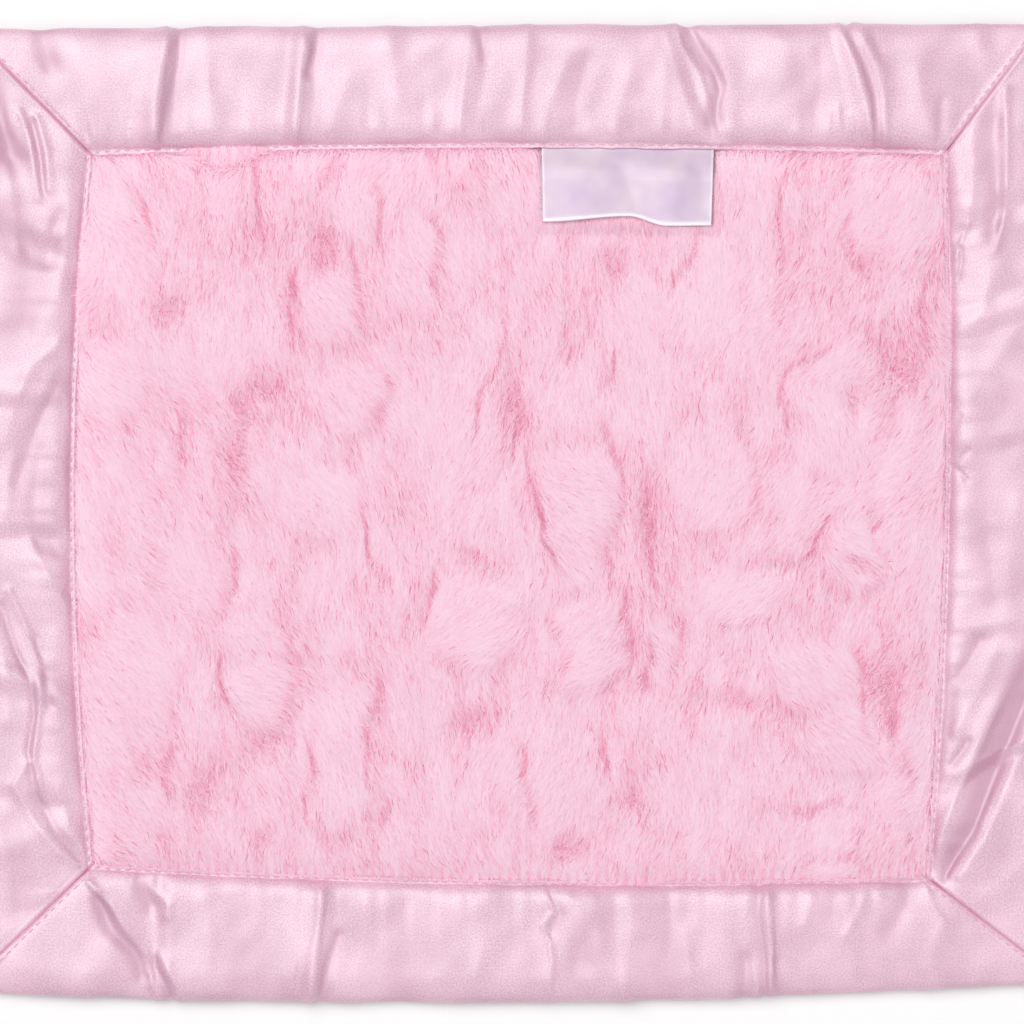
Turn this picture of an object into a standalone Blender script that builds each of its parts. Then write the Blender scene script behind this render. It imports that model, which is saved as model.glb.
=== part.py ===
"""Comfort blanket lovey: plush panels in a mitred satin binding, with a sewn-in loop label.

Metres, +Z up. The blanket lies flat with its fur side up, and its top edge faces +Y.
A place on a sewn edge is given along it, as a share from -1 to 1 between its mitred
corners, and across it, as a distance in from the outer fold.
"""
import math

import bmesh
import bpy
from mathutils import Vector

# The blanket between its sewn corners
BLANKET_WIDTH = 0.406
BLANKET_DEPTH = 0.358
BINDING_WIDTH = 0.046

# How far each sewn corner lies from the square one as the cloth is spread, across and up,
# as shares of the binding's width
OUTER_SWAY_SHARES = {
    "top_left": (0.02, -0.02),
    "top_right": (-0.09, 0.02),
    "bottom_right": (0.09, 0.04),
    "bottom_left": (-0.02, -0.04),
}
INNER_SWAY_SHARES = {
    "top_left": (0.04, -0.05),
    "top_right": (0.10, -0.05),
    "bottom_right": (-0.04, -0.10),
    "bottom_left": (0.05, 0.0),
}

# How far the middle of each edge bows outward, along its outer fold and along its seam
OUTER_BOW = {"top": 0.0004, "right": 0.0030, "bottom": 0.0056, "left": 0.0050}
SEAM_BOW = {"top": 0.0028, "right": 0.0038, "bottom": 0.0036, "left": 0.0068}

# Cloths at the seam
SATIN_THICKNESS = 0.0005
BACK_TONGUE_THICKNESS = 0.0008
FUR_TONGUE_THICKNESS = 0.0012
TONGUE_DEPTH = 0.008
HEM_DEPTH = 0.003
CLOTH_GAP = 0.0003

# Sewing thread
FLOOR_CLEARANCE = 0.0002
THREAD_DIAMETER = 0.0004
STITCH_INSET = 0.0015
THREAD_CORNER_GAP = 0.0012
MITRE_STITCH_OFFSET = 0.0016

# The binding's rounded section
CROWN_HEIGHT = 0.0082
FOLD_HEIGHT = 0.0036
FRONT_FOLD_RUN = 0.011
BACK_FOLD_RUN = 0.007
BACK_LIFT_RUN = 0.005
MITRE_DIP = 0.0016
MITRE_DIP_RUN = 0.014
SLOPE_FULLNESS = 2.5

# Panels between the bindings
PANEL_FOOT_CLEARANCE = 0.0005
FUR_HEIGHT = 0.0095
FUR_SHOULDER_RUN = 0.0045
FUR_CROWN_RUN = 0.012
FUR_STATION_PITCH = 0.0165
LUMP_HEIGHT = 0.0040
LUMP_REACH = 0.0160
PILE_SHOULDER_FULLNESS = 0.75
BACK_SHOULDER_RUN = 0.004

# Loop label
LABEL_WIDTH = 0.0635
LABEL_DROP = 0.0270
LABEL_CENTRE_OFFSET = 0.0445
LABEL_TAB_THICKNESS = 0.0008
LABEL_TAB_DEPTH = 0.0060
LABEL_HINGE_RUN = 0.0025
LABEL_RIBBON_THICKNESS = 0.0003
LABEL_FOLD_THICKNESS = 0.0014
LABEL_EDGE_WAVE = 0.0011
LABEL_WAVE_COUNT = 1.5
LABEL_PRESS_HEIGHT = 0.0072
LABEL_SIDE_CLEARANCE = 0.0015
LABEL_RISE_RUN = 0.0080

# How finely the cloth is divided
BINDING_STATION_COUNT = 13
SLOPE_STEP_COUNT = 4
FRONT_FOLD_STEP_COUNT = 3
BACK_FOLD_STEP_COUNT = 2
BACK_STATION_COUNT = 14
LABEL_COLUMN_COUNT = 9
LABEL_FOLD_STEP_COUNT = 4
OUTLINE_STEP_COUNT = 101
THREAD_BEVEL_RESOLUTION = 1

# The creases of each side: place along its seam and along its outer fold, as shares of
# half the side, then half width and height as shares of the binding's width and crown
CREASE_SHARES = {
    "top": (
        (-0.852, -0.629, 0.15, 0.22),
        (-0.523, -0.374, 0.13, 0.17),
        (-0.147, -0.041, 0.15, 0.10),
        (0.471, 0.318, 0.16, -0.20),
        (0.845, 0.632, 0.15, 0.20),
    ),
    "right": (
        (-0.765, -0.652, 0.15, -0.17),
        (-0.515, -0.440, 0.15, 0.16),
        (-0.197, -0.170, 0.15, 0.08),
        (0.372, 0.260, 0.15, -0.10),
        (0.800, 0.480, 0.18, -0.25),
    ),
    "bottom": (
        (-0.850, -0.658, 0.16, -0.24),
        (-0.451, -0.368, 0.14, 0.20),
        (0.205, 0.148, 0.18, 0.12),
        (0.600, 0.461, 0.13, 0.18),
        (0.845, 0.640, 0.12, -0.10),
    ),
    "left": (
        (-0.690, -0.590, 0.16, -0.17),
        (-0.338, -0.250, 0.17, 0.17),
        (0.085, 0.060, 0.16, -0.15),
        (0.536, 0.300, 0.16, 0.18),
        (0.840, 0.600, 0.14, -0.17),
    ),
}

# The larger lumps of the pile: across and up as shares of the half panel, then reach and
# height as shares of the usual lump's
LUMP_SHARES = (
    (-0.94, 0.76, 1.1, 0.8),
    (-0.37, 0.85, 1.0, 0.9),
    (-0.42, 0.61, 1.3, 1.0),
    (-0.22, 0.70, 1.3, 0.9),
    (-0.39, 0.34, 1.2, 0.9),
    (-0.90, 0.40, 1.4, 0.8),
    (-0.45, 0.06, 1.3, 0.8),
    (0.74, 0.31, 1.9, 0.8),
    (0.14, 0.01, 1.8, 0.9),
    (-0.08, -0.29, 1.6, 0.8),
    (0.18, -0.36, 1.4, 0.8),
    (-0.93, -0.53, 1.6, 0.9),
    (-0.60, -0.51, 1.2, 0.8),
    (-0.40, -0.67, 1.5, 0.9),
    (0.54, -0.25, 1.3, 0.8),
    (0.70, -0.46, 1.5, 0.8),
    (0.09, -0.73, 1.7, 1.0),
    (0.93, -0.73, 1.5, 0.8),
)

# Each cloth's colour and roughness
SATIN = ((0.83, 0.55, 0.70, 1), 0.35)
FUR = ((0.95, 0.61, 0.75, 1), 0.95)
BACK_PLUSH = ((0.93, 0.56, 0.71, 1), 0.9)
RIBBON = ((0.76, 0.65, 0.82, 1), 0.4)
THREAD = ((0.72, 0.36, 0.52, 1), 0.6)

# Levels at the seam, from the floor up
BACK_LEG_BOTTOM = FLOOR_CLEARANCE + THREAD_DIAMETER + CLOTH_GAP
BACK_TONGUE_BOTTOM = BACK_LEG_BOTTOM + SATIN_THICKNESS + CLOTH_GAP
BACK_TONGUE_TOP = BACK_TONGUE_BOTTOM + BACK_TONGUE_THICKNESS
FUR_TONGUE_BOTTOM = BACK_TONGUE_TOP + CLOTH_GAP
FUR_TONGUE_TOP = FUR_TONGUE_BOTTOM + FUR_TONGUE_THICKNESS
FRONT_LEG_TOP = FUR_TONGUE_TOP + CLOTH_GAP + SATIN_THICKNESS

# The label's tab, and the room that the loop's sewn end needs to turn in front of it
LABEL_TAB_MIDDLE = FUR_TONGUE_TOP + CLOTH_GAP + LABEL_TAB_THICKNESS / 2
LABEL_RISE = LABEL_TAB_THICKNESS + CLOTH_GAP
LABEL_START = LABEL_TAB_THICKNESS / 2
LABEL_END_ROOM = math.hypot(LABEL_START, LABEL_TAB_THICKNESS / 2) + CLOTH_GAP

SIDE_CORNERS = {
    "top": ("top_left", "top_right"),
    "right": ("top_right", "bottom_right"),
    "bottom": ("bottom_left", "bottom_right"),
    "left": ("top_left", "bottom_left"),
}
OUTWARD = {
    "top": Vector((0, 1)),
    "right": Vector((1, 0)),
    "bottom": Vector((0, -1)),
    "left": Vector((-1, 0)),
}
CORNER_SIGNS = {
    "top_left": Vector((-1, 1)),
    "top_right": Vector((1, 1)),
    "bottom_right": Vector((1, -1)),
    "bottom_left": Vector((-1, -1)),
}


def ease(share):
    """A smooth step from 0 to 1 as the share goes from 0 to 1."""
    share = min(max(share, 0), 1)
    return share * share * (3 - 2 * share)


def mix(start, end, share):
    """The value that lies the given share of the way from start to end."""
    return start + (end - start) * share


def spread(first, last, count):
    """Count values, evenly spaced from first to last."""
    return [mix(first, last, i / (count - 1)) for i in range(count)]


def filled(fixed, pitch):
    """The fixed places, with even ones between any two that lie further apart than the pitch."""
    fixed = sorted(fixed)
    places = [fixed[0]]
    for place in fixed[1:]:
        steps = max(1, round((place - places[-1]) / pitch))
        places += spread(places[-1], place, steps + 1)[1:]
    return places


def corner(name, inset, sway_shares):
    """A sewn corner in the plane, that far in from the outer one, before centring."""
    signs = CORNER_SIGNS[name]
    square = Vector((signs.x * (BLANKET_WIDTH / 2 - inset), signs.y * (BLANKET_DEPTH / 2 - inset)))
    return square + Vector(sway_shares[name]) * BINDING_WIDTH


def outer_corner(name):
    """Where the outer folds of two bindings meet."""
    return corner(name, 0, OUTER_SWAY_SHARES)


def inner_corner(name):
    """Where the seams of two bindings meet."""
    return corner(name, BINDING_WIDTH, INNER_SWAY_SHARES)


def side_half(side, corner_of):
    """Half the straight length between the two corners of a side."""
    first, last = (corner_of(name) for name in SIDE_CORNERS[side])
    return (last - first).length / 2


def edge_point(side, along, corner_of, bow):
    """A point of the bowed line between the two corners of a side."""
    first, last = (corner_of(name) for name in SIDE_CORNERS[side])
    return mix(first, last, (along + 1) / 2) + OUTWARD[side] * bow[side] * (1 - along * along)


def outline_centre():
    """The middle of the box round the outer folds."""
    steps = spread(-1, 1, OUTLINE_STEP_COUNT)
    points = [edge_point(side, s, outer_corner, OUTER_BOW) for side in SIDE_CORNERS for s in steps]
    xs = [point.x for point in points]
    ys = [point.y for point in points]
    return Vector((min(xs) + max(xs), min(ys) + max(ys))) / 2


CENTRE = outline_centre()


def binding_point(side, seam_share, fold_share, across):
    """A point in the plane on the line from the outer fold to the seam, that far across it."""
    outer = edge_point(side, fold_share, outer_corner, OUTER_BOW)
    inner = edge_point(side, seam_share, inner_corner, SEAM_BOW)
    return mix(outer, inner, across / BINDING_WIDTH) - CENTRE


def panel_point(across, up):
    """A point in the plane from the panel's own shares, which are -1 and 1 at its seams."""
    left = mix(inner_corner("bottom_left"), inner_corner("top_left"), (up + 1) / 2)
    right = mix(inner_corner("bottom_right"), inner_corner("top_right"), (up + 1) / 2)
    point = mix(left, right, (across + 1) / 2)
    side_bulge = max(0, 1 - up * up) / 2
    end_bulge = max(0, 1 - across * across) / 2
    point.x += side_bulge * (SEAM_BOW["right"] * (1 + across) - SEAM_BOW["left"] * (1 - across))
    point.y += end_bulge * (SEAM_BOW["top"] * (1 + up) - SEAM_BOW["bottom"] * (1 - up))
    return point - CENTRE


def top_share(place):
    """The share along the top seam of a place that far right of the blanket's centre."""
    first, last = (inner_corner(name).x for name in SIDE_CORNERS["top"])
    return (place + CENTRE.x - (first + last) / 2) / ((last - first) / 2)


LABEL_PATCH = (
    top_share(LABEL_CENTRE_OFFSET - LABEL_WIDTH / 2 - LABEL_SIDE_CLEARANCE),
    top_share(LABEL_CENTRE_OFFSET + LABEL_WIDTH / 2 + LABEL_SIDE_CLEARANCE),
)
PANEL_HALF_WIDTH = side_half("top", inner_corner)
PANEL_HALF_DEPTH = side_half("left", inner_corner)


def label_cover(along, run):
    """1 where the label lies, going to 0 over the run on each side of it."""
    outside = max(LABEL_PATCH[0] - along, along - LABEL_PATCH[1], 0)
    return 1 - ease(outside * PANEL_HALF_WIDTH / run)


def fold_share(side, seam_share):
    """The share along the outer fold that the creases join to a share along the seam."""
    ends = [1 - CLOTH_GAP / math.sqrt(2) / side_half(side, at) for at in (inner_corner, outer_corner)]
    knots = [(-ends[0], -ends[1])]
    knots += [crease[:2] for crease in CREASE_SHARES[side]]
    knots += [(ends[0], ends[1])]
    for (seam, fold), (next_seam, next_fold) in zip(knots, knots[1:]):
        if seam_share <= next_seam:
            break
    return mix(fold, next_fold, (seam_share - seam) / (next_seam - seam))


def side_stations(side):
    """The shares along the seam where a side's cloth is divided."""
    half = side_half(side, inner_corner)
    end = 1 - CLOTH_GAP / math.sqrt(2) / half
    dip = 1 - MITRE_DIP_RUN / half
    fixed = [-end, -dip, dip, end]
    for seam, fold, width, height in CREASE_SHARES[side]:
        reach = width * BINDING_WIDTH / half
        fixed += [seam - reach, seam, seam + reach]
    if side == "top":
        run = LABEL_RISE_RUN / half
        fixed += [LABEL_PATCH[0] - run, LABEL_PATCH[0], LABEL_PATCH[1], LABEL_PATCH[1] + run]
    return filled(fixed, 2 / BINDING_STATION_COUNT)


def hem_top(side, seam_share):
    """The height of the front hem, which rises where the label's tab is sewn in under it."""
    if side == "top":
        return FRONT_LEG_TOP + LABEL_RISE * label_cover(seam_share, LABEL_RISE_RUN)
    return FRONT_LEG_TOP


def crown_height(side, seam_share):
    """The height of the crown, raised or sunk by the creases and drawn down at the mitres."""
    half = side_half(side, inner_corner)
    height = CROWN_HEIGHT
    for seam, fold, width, lift in CREASE_SHARES[side]:
        distance = abs(seam_share - seam) * half
        height += lift * CROWN_HEIGHT * max(0, 1 - distance / (width * BINDING_WIDTH))
    distance = (1 - abs(seam_share)) * half
    return height - MITRE_DIP * max(0, 1 - distance / MITRE_DIP_RUN)


def binding_section(side, seam_share):
    """The satin's outer face from its front hem round to its back hem, across and up."""
    hem_line = BINDING_WIDTH - HEM_DEPTH
    hem = hem_top(side, seam_share)
    crown = crown_height(side, seam_share)
    rows = [(BINDING_WIDTH, hem), (hem_line, hem)]
    for share in spread(1, 0, SLOPE_STEP_COUNT + 1)[1:]:
        fullness = math.cos(math.pi / 2 * share**SLOPE_FULLNESS)
        rows.append((mix(FRONT_FOLD_RUN, hem_line, share), mix(hem, crown, fullness)))
    for turn in spread(math.pi / 2, 0, FRONT_FOLD_STEP_COUNT + 1)[1:]:
        rows.append((FRONT_FOLD_RUN * (1 - math.cos(turn)), mix(FOLD_HEIGHT, crown, math.sin(turn))))
    for turn in spread(0, math.pi / 2, BACK_FOLD_STEP_COUNT + 1)[1:]:
        rows.append((BACK_FOLD_RUN * (1 - math.cos(turn)), FOLD_HEIGHT * (1 - math.sin(turn))))
    rows.append((hem_line - BACK_LIFT_RUN, 0))
    rows.append((hem_line, BACK_LEG_BOTTOM))
    rows.append((BINDING_WIDTH, BACK_LEG_BOTTOM))
    return [Vector(row) for row in rows]


def offset_line(points, distance):
    """The line that lies the distance to the left of an open line of points."""
    ways = [(b - a).normalized() for a, b in zip(points, points[1:])]
    ways = [ways[0]] + ways + [ways[-1]]
    moved = []
    for point, before, after in zip(points, ways, ways[1:]):
        way = (before + after).normalized()
        left = Vector((-way.y, way.x))
        moved.append(point + left * distance / way.dot(after))
    return moved


def cloth_mesh(name, column_count, row_count, place):
    """A closed sheet of columns and rows, with each corner of its two faces set by place."""
    bm = bmesh.new()
    bmesh.ops.create_grid(bm, x_segments=column_count - 1, y_segments=row_count - 1, size=1)
    lifted = bmesh.ops.extrude_face_region(bm, geom=bm.faces[:])["geom"]
    corners = [item for item in lifted if isinstance(item, bmesh.types.BMVert)]
    bmesh.ops.translate(bm, verts=corners, vec=(0, 0, 1))
    for vert in bm.verts:
        column = round((vert.co.x + 1) / 2 * (column_count - 1))
        row = round((vert.co.y + 1) / 2 * (row_count - 1))
        vert.co = place(column, row, round(vert.co.z))
    bmesh.ops.recalc_face_normals(bm, faces=bm.faces[:])
    if bm.calc_volume(signed=True) < 0:
        bmesh.ops.reverse_faces(bm, faces=bm.faces[:])
    mesh = bpy.data.meshes.new(name)
    bm.to_mesh(mesh)
    bm.free()
    return mesh


def add_object(name, data, finish):
    """Links a mesh or curve to the scene as a named object with its own material."""
    colour, roughness = finish
    material = bpy.data.materials.new(name)
    material.use_nodes = True
    shader = material.node_tree.nodes["Principled BSDF"]
    shader.inputs["Base Color"].default_value = colour
    shader.inputs["Roughness"].default_value = roughness
    shader.inputs["Metallic"].default_value = 0
    data.materials.append(material)
    obj = bpy.data.objects.new(name, data)
    bpy.context.collection.objects.link(obj)
    return obj


def add_binding(side):
    """One side's satin strip, folded round the edge and cut to the mitre at both ends."""
    stations = side_stations(side)
    faces = []
    for station in stations:
        outside = binding_section(side, station)
        faces.append((offset_line(outside, SATIN_THICKNESS), outside))

    def place(column, row, layer):
        across, up = faces[column][layer][row]
        share = stations[column]
        point = binding_point(side, share, fold_share(side, share), across)
        return (point.x, point.y, up)

    mesh = cloth_mesh("binding_" + side, len(stations), len(faces[0][0]), place)
    mesh.shade_smooth()
    add_object("binding_" + side, mesh, SATIN)


def panel_stations(half, shoulder, pitch, extra=()):
    """Shares across a panel: its tongues, feet and shoulders, and even ones between."""
    insets = (-TONGUE_DEPTH, PANEL_FOOT_CLEARANCE, shoulder)
    rims = [inset / half - 1 for inset in insets]
    middle = filled([rims[-1], -rims[-1], *extra], pitch / half)
    return rims[:-1] + middle + [-share for share in reversed(rims[:-1])]


def pile_height(across, up):
    """The height of the pile's surface at a place given in the panel's shares."""
    edge = min((1 - abs(across)) * PANEL_HALF_WIDTH, (1 - abs(up)) * PANEL_HALF_DEPTH)
    run = FUR_CROWN_RUN - PANEL_FOOT_CLEARANCE
    rise = min(max((edge - PANEL_FOOT_CLEARANCE) / run, 0), 1)
    height = FUR_HEIGHT
    for lump_across, lump_up, reach, share in LUMP_SHARES:
        distance = (panel_point(across, up) - panel_point(lump_across, lump_up)).length
        height += share * LUMP_HEIGHT * ease(1 - distance / (reach * LUMP_REACH))
    free = mix(FUR_TONGUE_TOP, height, math.sin(math.pi / 2 * rise) ** PILE_SHOULDER_FULLNESS)
    from_top = (1 - up) * PANEL_HALF_DEPTH
    climb = (from_top - FUR_SHOULDER_RUN) / (FUR_CROWN_RUN - FUR_SHOULDER_RUN)
    pressed = mix(FUR_TONGUE_TOP, LABEL_PRESS_HEIGHT, min(max(climb, 0), 1))
    below = max(from_top - LABEL_DROP - LABEL_SIDE_CLEARANCE, 0)
    cover = label_cover(across, LABEL_RISE_RUN) * (1 - ease(below / LABEL_RISE_RUN))
    return mix(free, pressed, cover)


def add_fur_panel():
    """The front panel: its tongues run in under the bindings, and its pile crowns between."""
    run = LABEL_RISE_RUN / PANEL_HALF_WIDTH
    crown = 1 - FUR_CROWN_RUN / PANEL_HALF_WIDTH
    columns = (-crown, LABEL_PATCH[0] - run, LABEL_PATCH[0], LABEL_PATCH[1], LABEL_PATCH[1] + run, crown)
    across = panel_stations(PANEL_HALF_WIDTH, FUR_SHOULDER_RUN, FUR_STATION_PITCH, columns)
    end = LABEL_DROP + LABEL_SIDE_CLEARANCE
    insets = (FUR_CROWN_RUN, end, end + LABEL_RISE_RUN)
    rows = [1 - inset / PANEL_HALF_DEPTH for inset in insets]
    rows.append(FUR_CROWN_RUN / PANEL_HALF_DEPTH - 1)
    up = panel_stations(PANEL_HALF_DEPTH, FUR_SHOULDER_RUN, FUR_STATION_PITCH, rows)

    def place(column, row, layer):
        point = panel_point(across[column], up[row])
        height = pile_height(across[column], up[row]) if layer else FUR_TONGUE_BOTTOM
        return (point.x, point.y, height)

    mesh = cloth_mesh("fur_panel", len(across), len(up), place)
    mesh.shade_smooth()
    add_object("fur_panel", mesh, FUR)


def add_back_panel():
    """The back panel, which the blanket lies on: flat below, with tongues in the bindings."""
    pitch = 2 * PANEL_HALF_WIDTH / BACK_STATION_COUNT
    shares = [
        panel_stations(half, BACK_SHOULDER_RUN, pitch)
        for half in (PANEL_HALF_WIDTH, PANEL_HALF_DEPTH)
    ]

    def place(column, row, layer):
        point = panel_point(shares[0][column], shares[1][row])
        middle = 1 < column < len(shares[0]) - 2 and 1 < row < len(shares[1]) - 2
        bottom = 0 if middle else BACK_TONGUE_BOTTOM
        return (point.x, point.y, BACK_TONGUE_TOP if layer else bottom)

    mesh = cloth_mesh("back_panel", len(shares[0]), len(shares[1]), place)
    add_object("back_panel", mesh, BACK_PLUSH)


def label_frame():
    """Where the label's hinge lies in the plane, and the turn that sets it along the seam."""
    half = LABEL_WIDTH / 2
    ends = []
    for place in (LABEL_CENTRE_OFFSET - half, LABEL_CENTRE_OFFSET + half):
        share = top_share(place)
        ends.append(binding_point("top", share, share, BINDING_WIDTH))
    way = (ends[1] - ends[0]).normalized()
    inward = Vector((way.y, -way.x))
    return (ends[0] + ends[1]) / 2 + inward * LABEL_HINGE_RUN, math.atan2(way.y, way.x)


def label_section():
    """The loop's outer face in the label's own frame, from its top front edge round the fold."""
    shoulder = FUR_SHOULDER_RUN - LABEL_HINGE_RUN
    crown = FUR_CROWN_RUN - LABEL_HINGE_RUN
    radius = LABEL_FOLD_THICKNESS / 2
    fold = LABEL_DROP - LABEL_HINGE_RUN - radius
    rest = LABEL_PRESS_HEIGHT + CLOTH_GAP - LABEL_TAB_MIDDLE
    low = -LABEL_TAB_THICKNESS / 2
    back = [(LABEL_START, low), (shoulder, low), (crown, rest), (mix(crown, fold, 0.5), rest), (fold, rest)]
    front = []
    for out, height in back:
        share = (out - LABEL_START) / (fold - LABEL_START)
        front.append((out, height + mix(LABEL_TAB_THICKNESS, LABEL_FOLD_THICKNESS, share)))
    bend = []
    for turn in spread(math.pi / 2, -math.pi / 2, LABEL_FOLD_STEP_COUNT + 1)[1:-1]:
        bend.append((fold + radius * math.cos(turn), rest + radius + radius * math.sin(turn)))
    return [Vector(row) for row in front + bend + back[::-1]]


def add_label():
    """The loop label, folded at its lower edge and turning on the edge of its sewn tab."""
    outside = label_section()
    faces = (offset_line(outside, -LABEL_RIBBON_THICKNESS), outside)
    across = spread(-LABEL_WIDTH / 2, LABEL_WIDTH / 2, LABEL_COLUMN_COUNT)
    start = FUR_CROWN_RUN - LABEL_HINGE_RUN

    def place(column, row, layer):
        out, up = faces[layer][row]
        wave = LABEL_EDGE_WAVE * math.sin(LABEL_WAVE_COUNT * math.tau * across[column] / LABEL_WIDTH)
        out += wave * ease((out - start) / (LABEL_DROP - start))
        return (across[column], -out, up)

    hinge, turn = label_frame()
    mesh = cloth_mesh("label_flap", LABEL_COLUMN_COUNT, len(outside), place)
    mesh.shade_smooth()
    flap = add_object("label_flap", mesh, RIBBON)
    flap.location = (hinge.x, hinge.y, LABEL_TAB_MIDDLE)
    flap.rotation_euler.z = turn

    depth = LABEL_TAB_DEPTH + LABEL_HINGE_RUN - LABEL_END_ROOM
    bm = bmesh.new()
    bmesh.ops.create_cube(bm, size=1)
    bmesh.ops.scale(bm, vec=(LABEL_WIDTH, depth, LABEL_TAB_THICKNESS), verts=bm.verts[:])
    bmesh.ops.translate(bm, vec=(0, LABEL_END_ROOM + depth / 2, 0), verts=bm.verts[:])
    mesh = bpy.data.meshes.new("label_tab")
    bm.to_mesh(mesh)
    bm.free()
    tab = add_object("label_tab", mesh, RIBBON)
    tab.location = flap.location
    tab.rotation_euler.z = turn


def add_thread(name, points):
    """A thread through the points, as a closed tube."""
    curve = bpy.data.curves.new(name, "CURVE")
    curve.dimensions = "3D"
    curve.bevel_depth = THREAD_DIAMETER / 2
    curve.bevel_resolution = THREAD_BEVEL_RESOLUTION
    curve.use_fill_caps = True
    spline = curve.splines.new("POLY")
    spline.points.add(len(points) - 1)
    for knot, point in zip(spline.points, points):
        knot.co = (*point, 1)
    add_object(name, curve, THREAD)


def add_seam_threads(side):
    """The lockstitch along a side's hem: its needle thread above and bobbin thread below."""
    half = side_half(side, inner_corner)
    end = 1 - THREAD_CORNER_GAP / half
    stations = [share for share in side_stations(side) if abs(share) < end]
    front = []
    back = []
    for share in [-end, *stations, end]:
        point = binding_point(side, share, fold_share(side, share), BINDING_WIDTH - STITCH_INSET)
        front.append((point.x, point.y, hem_top(side, share) + CLOTH_GAP + THREAD_DIAMETER / 2))
        back.append((point.x, point.y, FLOOR_CLEARANCE + THREAD_DIAMETER / 2))
    add_thread("needle_thread_" + side, front)
    add_thread("bobbin_thread_" + side, back)


def add_mitre_thread(side, end):
    """The edge stitching beside a mitre, from the hem line out to the fold."""
    seam_share = end * (1 - MITRE_STITCH_OFFSET / side_half(side, inner_corner))
    outer_share = end * (1 - MITRE_STITCH_OFFSET / side_half(side, outer_corner))
    section = binding_section(side, seam_share)
    lifted = offset_line(section, -CLOTH_GAP - THREAD_DIAMETER / 2)
    points = []
    for across, up in lifted[1 : 1 + SLOPE_STEP_COUNT + FRONT_FOLD_STEP_COUNT]:
        point = binding_point(side, seam_share, outer_share, across)
        points.append((point.x, point.y, up))
    add_thread("mitre_thread_" + SIDE_CORNERS[side][(end + 1) // 2], points)


def main():
    for obj in list(bpy.data.objects):
        bpy.data.objects.remove(obj, do_unlink=True)
    add_back_panel()
    add_fur_panel()
    for side in SIDE_CORNERS:
        add_binding(side)
        add_seam_threads(side)
    for side in ("top", "bottom"):
        for end in (-1, 1):
            add_mitre_thread(side, end)
    add_label()
    hinge, turn = label_frame()
    print("label hinge", round(hinge.x, 6), round(hinge.y, 6), round(LABEL_TAB_MIDDLE, 6))
    print("label hinge axis", round(-math.cos(turn), 6), round(-math.sin(turn), 6), 0)


main()
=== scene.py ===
"""Comfort blanket lovey: its satin, fur, stitches and label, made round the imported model.

Metres, +Z up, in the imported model's frame: the blanket lies flat with its fur side up, and
its top edge faces +Y. A place on a sewn edge is given along it, as a share from -1 to 1
between its mitred corners, and across it, as a distance in from the outer fold.
"""
import math

import bmesh
import bpy
import numpy as np
from bpy.props import FloatProperty, FloatVectorProperty, IntProperty, PointerProperty
from mathutils import Matrix, Vector


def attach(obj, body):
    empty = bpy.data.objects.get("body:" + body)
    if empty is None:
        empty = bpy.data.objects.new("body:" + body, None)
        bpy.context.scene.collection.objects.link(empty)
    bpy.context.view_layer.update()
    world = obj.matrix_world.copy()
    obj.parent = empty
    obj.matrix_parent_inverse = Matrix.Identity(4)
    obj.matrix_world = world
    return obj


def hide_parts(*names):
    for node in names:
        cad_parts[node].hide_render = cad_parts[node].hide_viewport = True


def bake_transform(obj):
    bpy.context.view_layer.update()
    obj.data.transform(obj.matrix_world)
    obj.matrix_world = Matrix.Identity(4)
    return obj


bl_info = {
    "name": "Comfort Blanket Lovey",
    "version": (1, 0, 0),
    "blender": (4, 5, 0),
    "location": "View3D > Sidebar > Lovey",
    "description": "A plush comfort blanket with a mitred satin binding and a loop label",
    "category": "Object",
}

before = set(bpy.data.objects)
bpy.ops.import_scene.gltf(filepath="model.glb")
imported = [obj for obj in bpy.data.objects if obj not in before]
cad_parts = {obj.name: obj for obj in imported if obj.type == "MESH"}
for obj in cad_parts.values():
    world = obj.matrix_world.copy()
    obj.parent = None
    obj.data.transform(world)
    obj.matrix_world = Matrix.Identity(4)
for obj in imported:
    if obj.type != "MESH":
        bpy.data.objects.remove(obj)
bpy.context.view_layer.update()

# The blanket between its sewn corners, as in the model
BLANKET_WIDTH = 0.406
BLANKET_DEPTH = 0.358
BINDING_WIDTH = 0.046
OUTER_SWAY_SHARES = {
    "top_left": (0.02, -0.02),
    "top_right": (-0.09, 0.02),
    "bottom_right": (0.09, 0.04),
    "bottom_left": (-0.02, -0.04),
}
INNER_SWAY_SHARES = {
    "top_left": (0.04, -0.05),
    "top_right": (0.10, -0.05),
    "bottom_right": (-0.04, -0.10),
    "bottom_left": (0.05, 0.0),
}
OUTER_BOW = {"top": 0.0004, "right": 0.0030, "bottom": 0.0056, "left": 0.0050}
SEAM_BOW = {"top": 0.0028, "right": 0.0038, "bottom": 0.0036, "left": 0.0068}

# Cloths and thread at the seam
SATIN_THICKNESS = 0.0005
BACK_TONGUE_THICKNESS = 0.0008
FUR_TONGUE_THICKNESS = 0.0012
TONGUE_DEPTH = 0.008
HEM_DEPTH = 0.003
CLOTH_GAP = 0.0003
FLOOR_CLEARANCE = 0.0002
THREAD_DIAMETER = 0.0004
STITCH_INSET = 0.0015
THREAD_CORNER_GAP = 0.0012
MITRE_STITCH_OFFSET = 0.0016

# The binding's rounded section
CROWN_HEIGHT = 0.0082
FOLD_HEIGHT = 0.0036
FRONT_FOLD_RUN = 0.011
BACK_FOLD_RUN = 0.007
BACK_LIFT_RUN = 0.005
MITRE_DIP = 0.0016
MITRE_DIP_RUN = 0.014
SLOPE_FULLNESS = 6.5
HEM_ROUNDING = 0.0004
# The front hem's turned lip: how far in from the seam and how far down its rows lie
HEM_LIP = ((0.0020, 0.00055), (0.0005, 0.0005), (0.0001, 0.00032), (0.00005, 0.0001))
# The satin's points lie closer together over this run at a mitre
FINE_RUN = 0.006
SEAM_STEP = 0.0007
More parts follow.
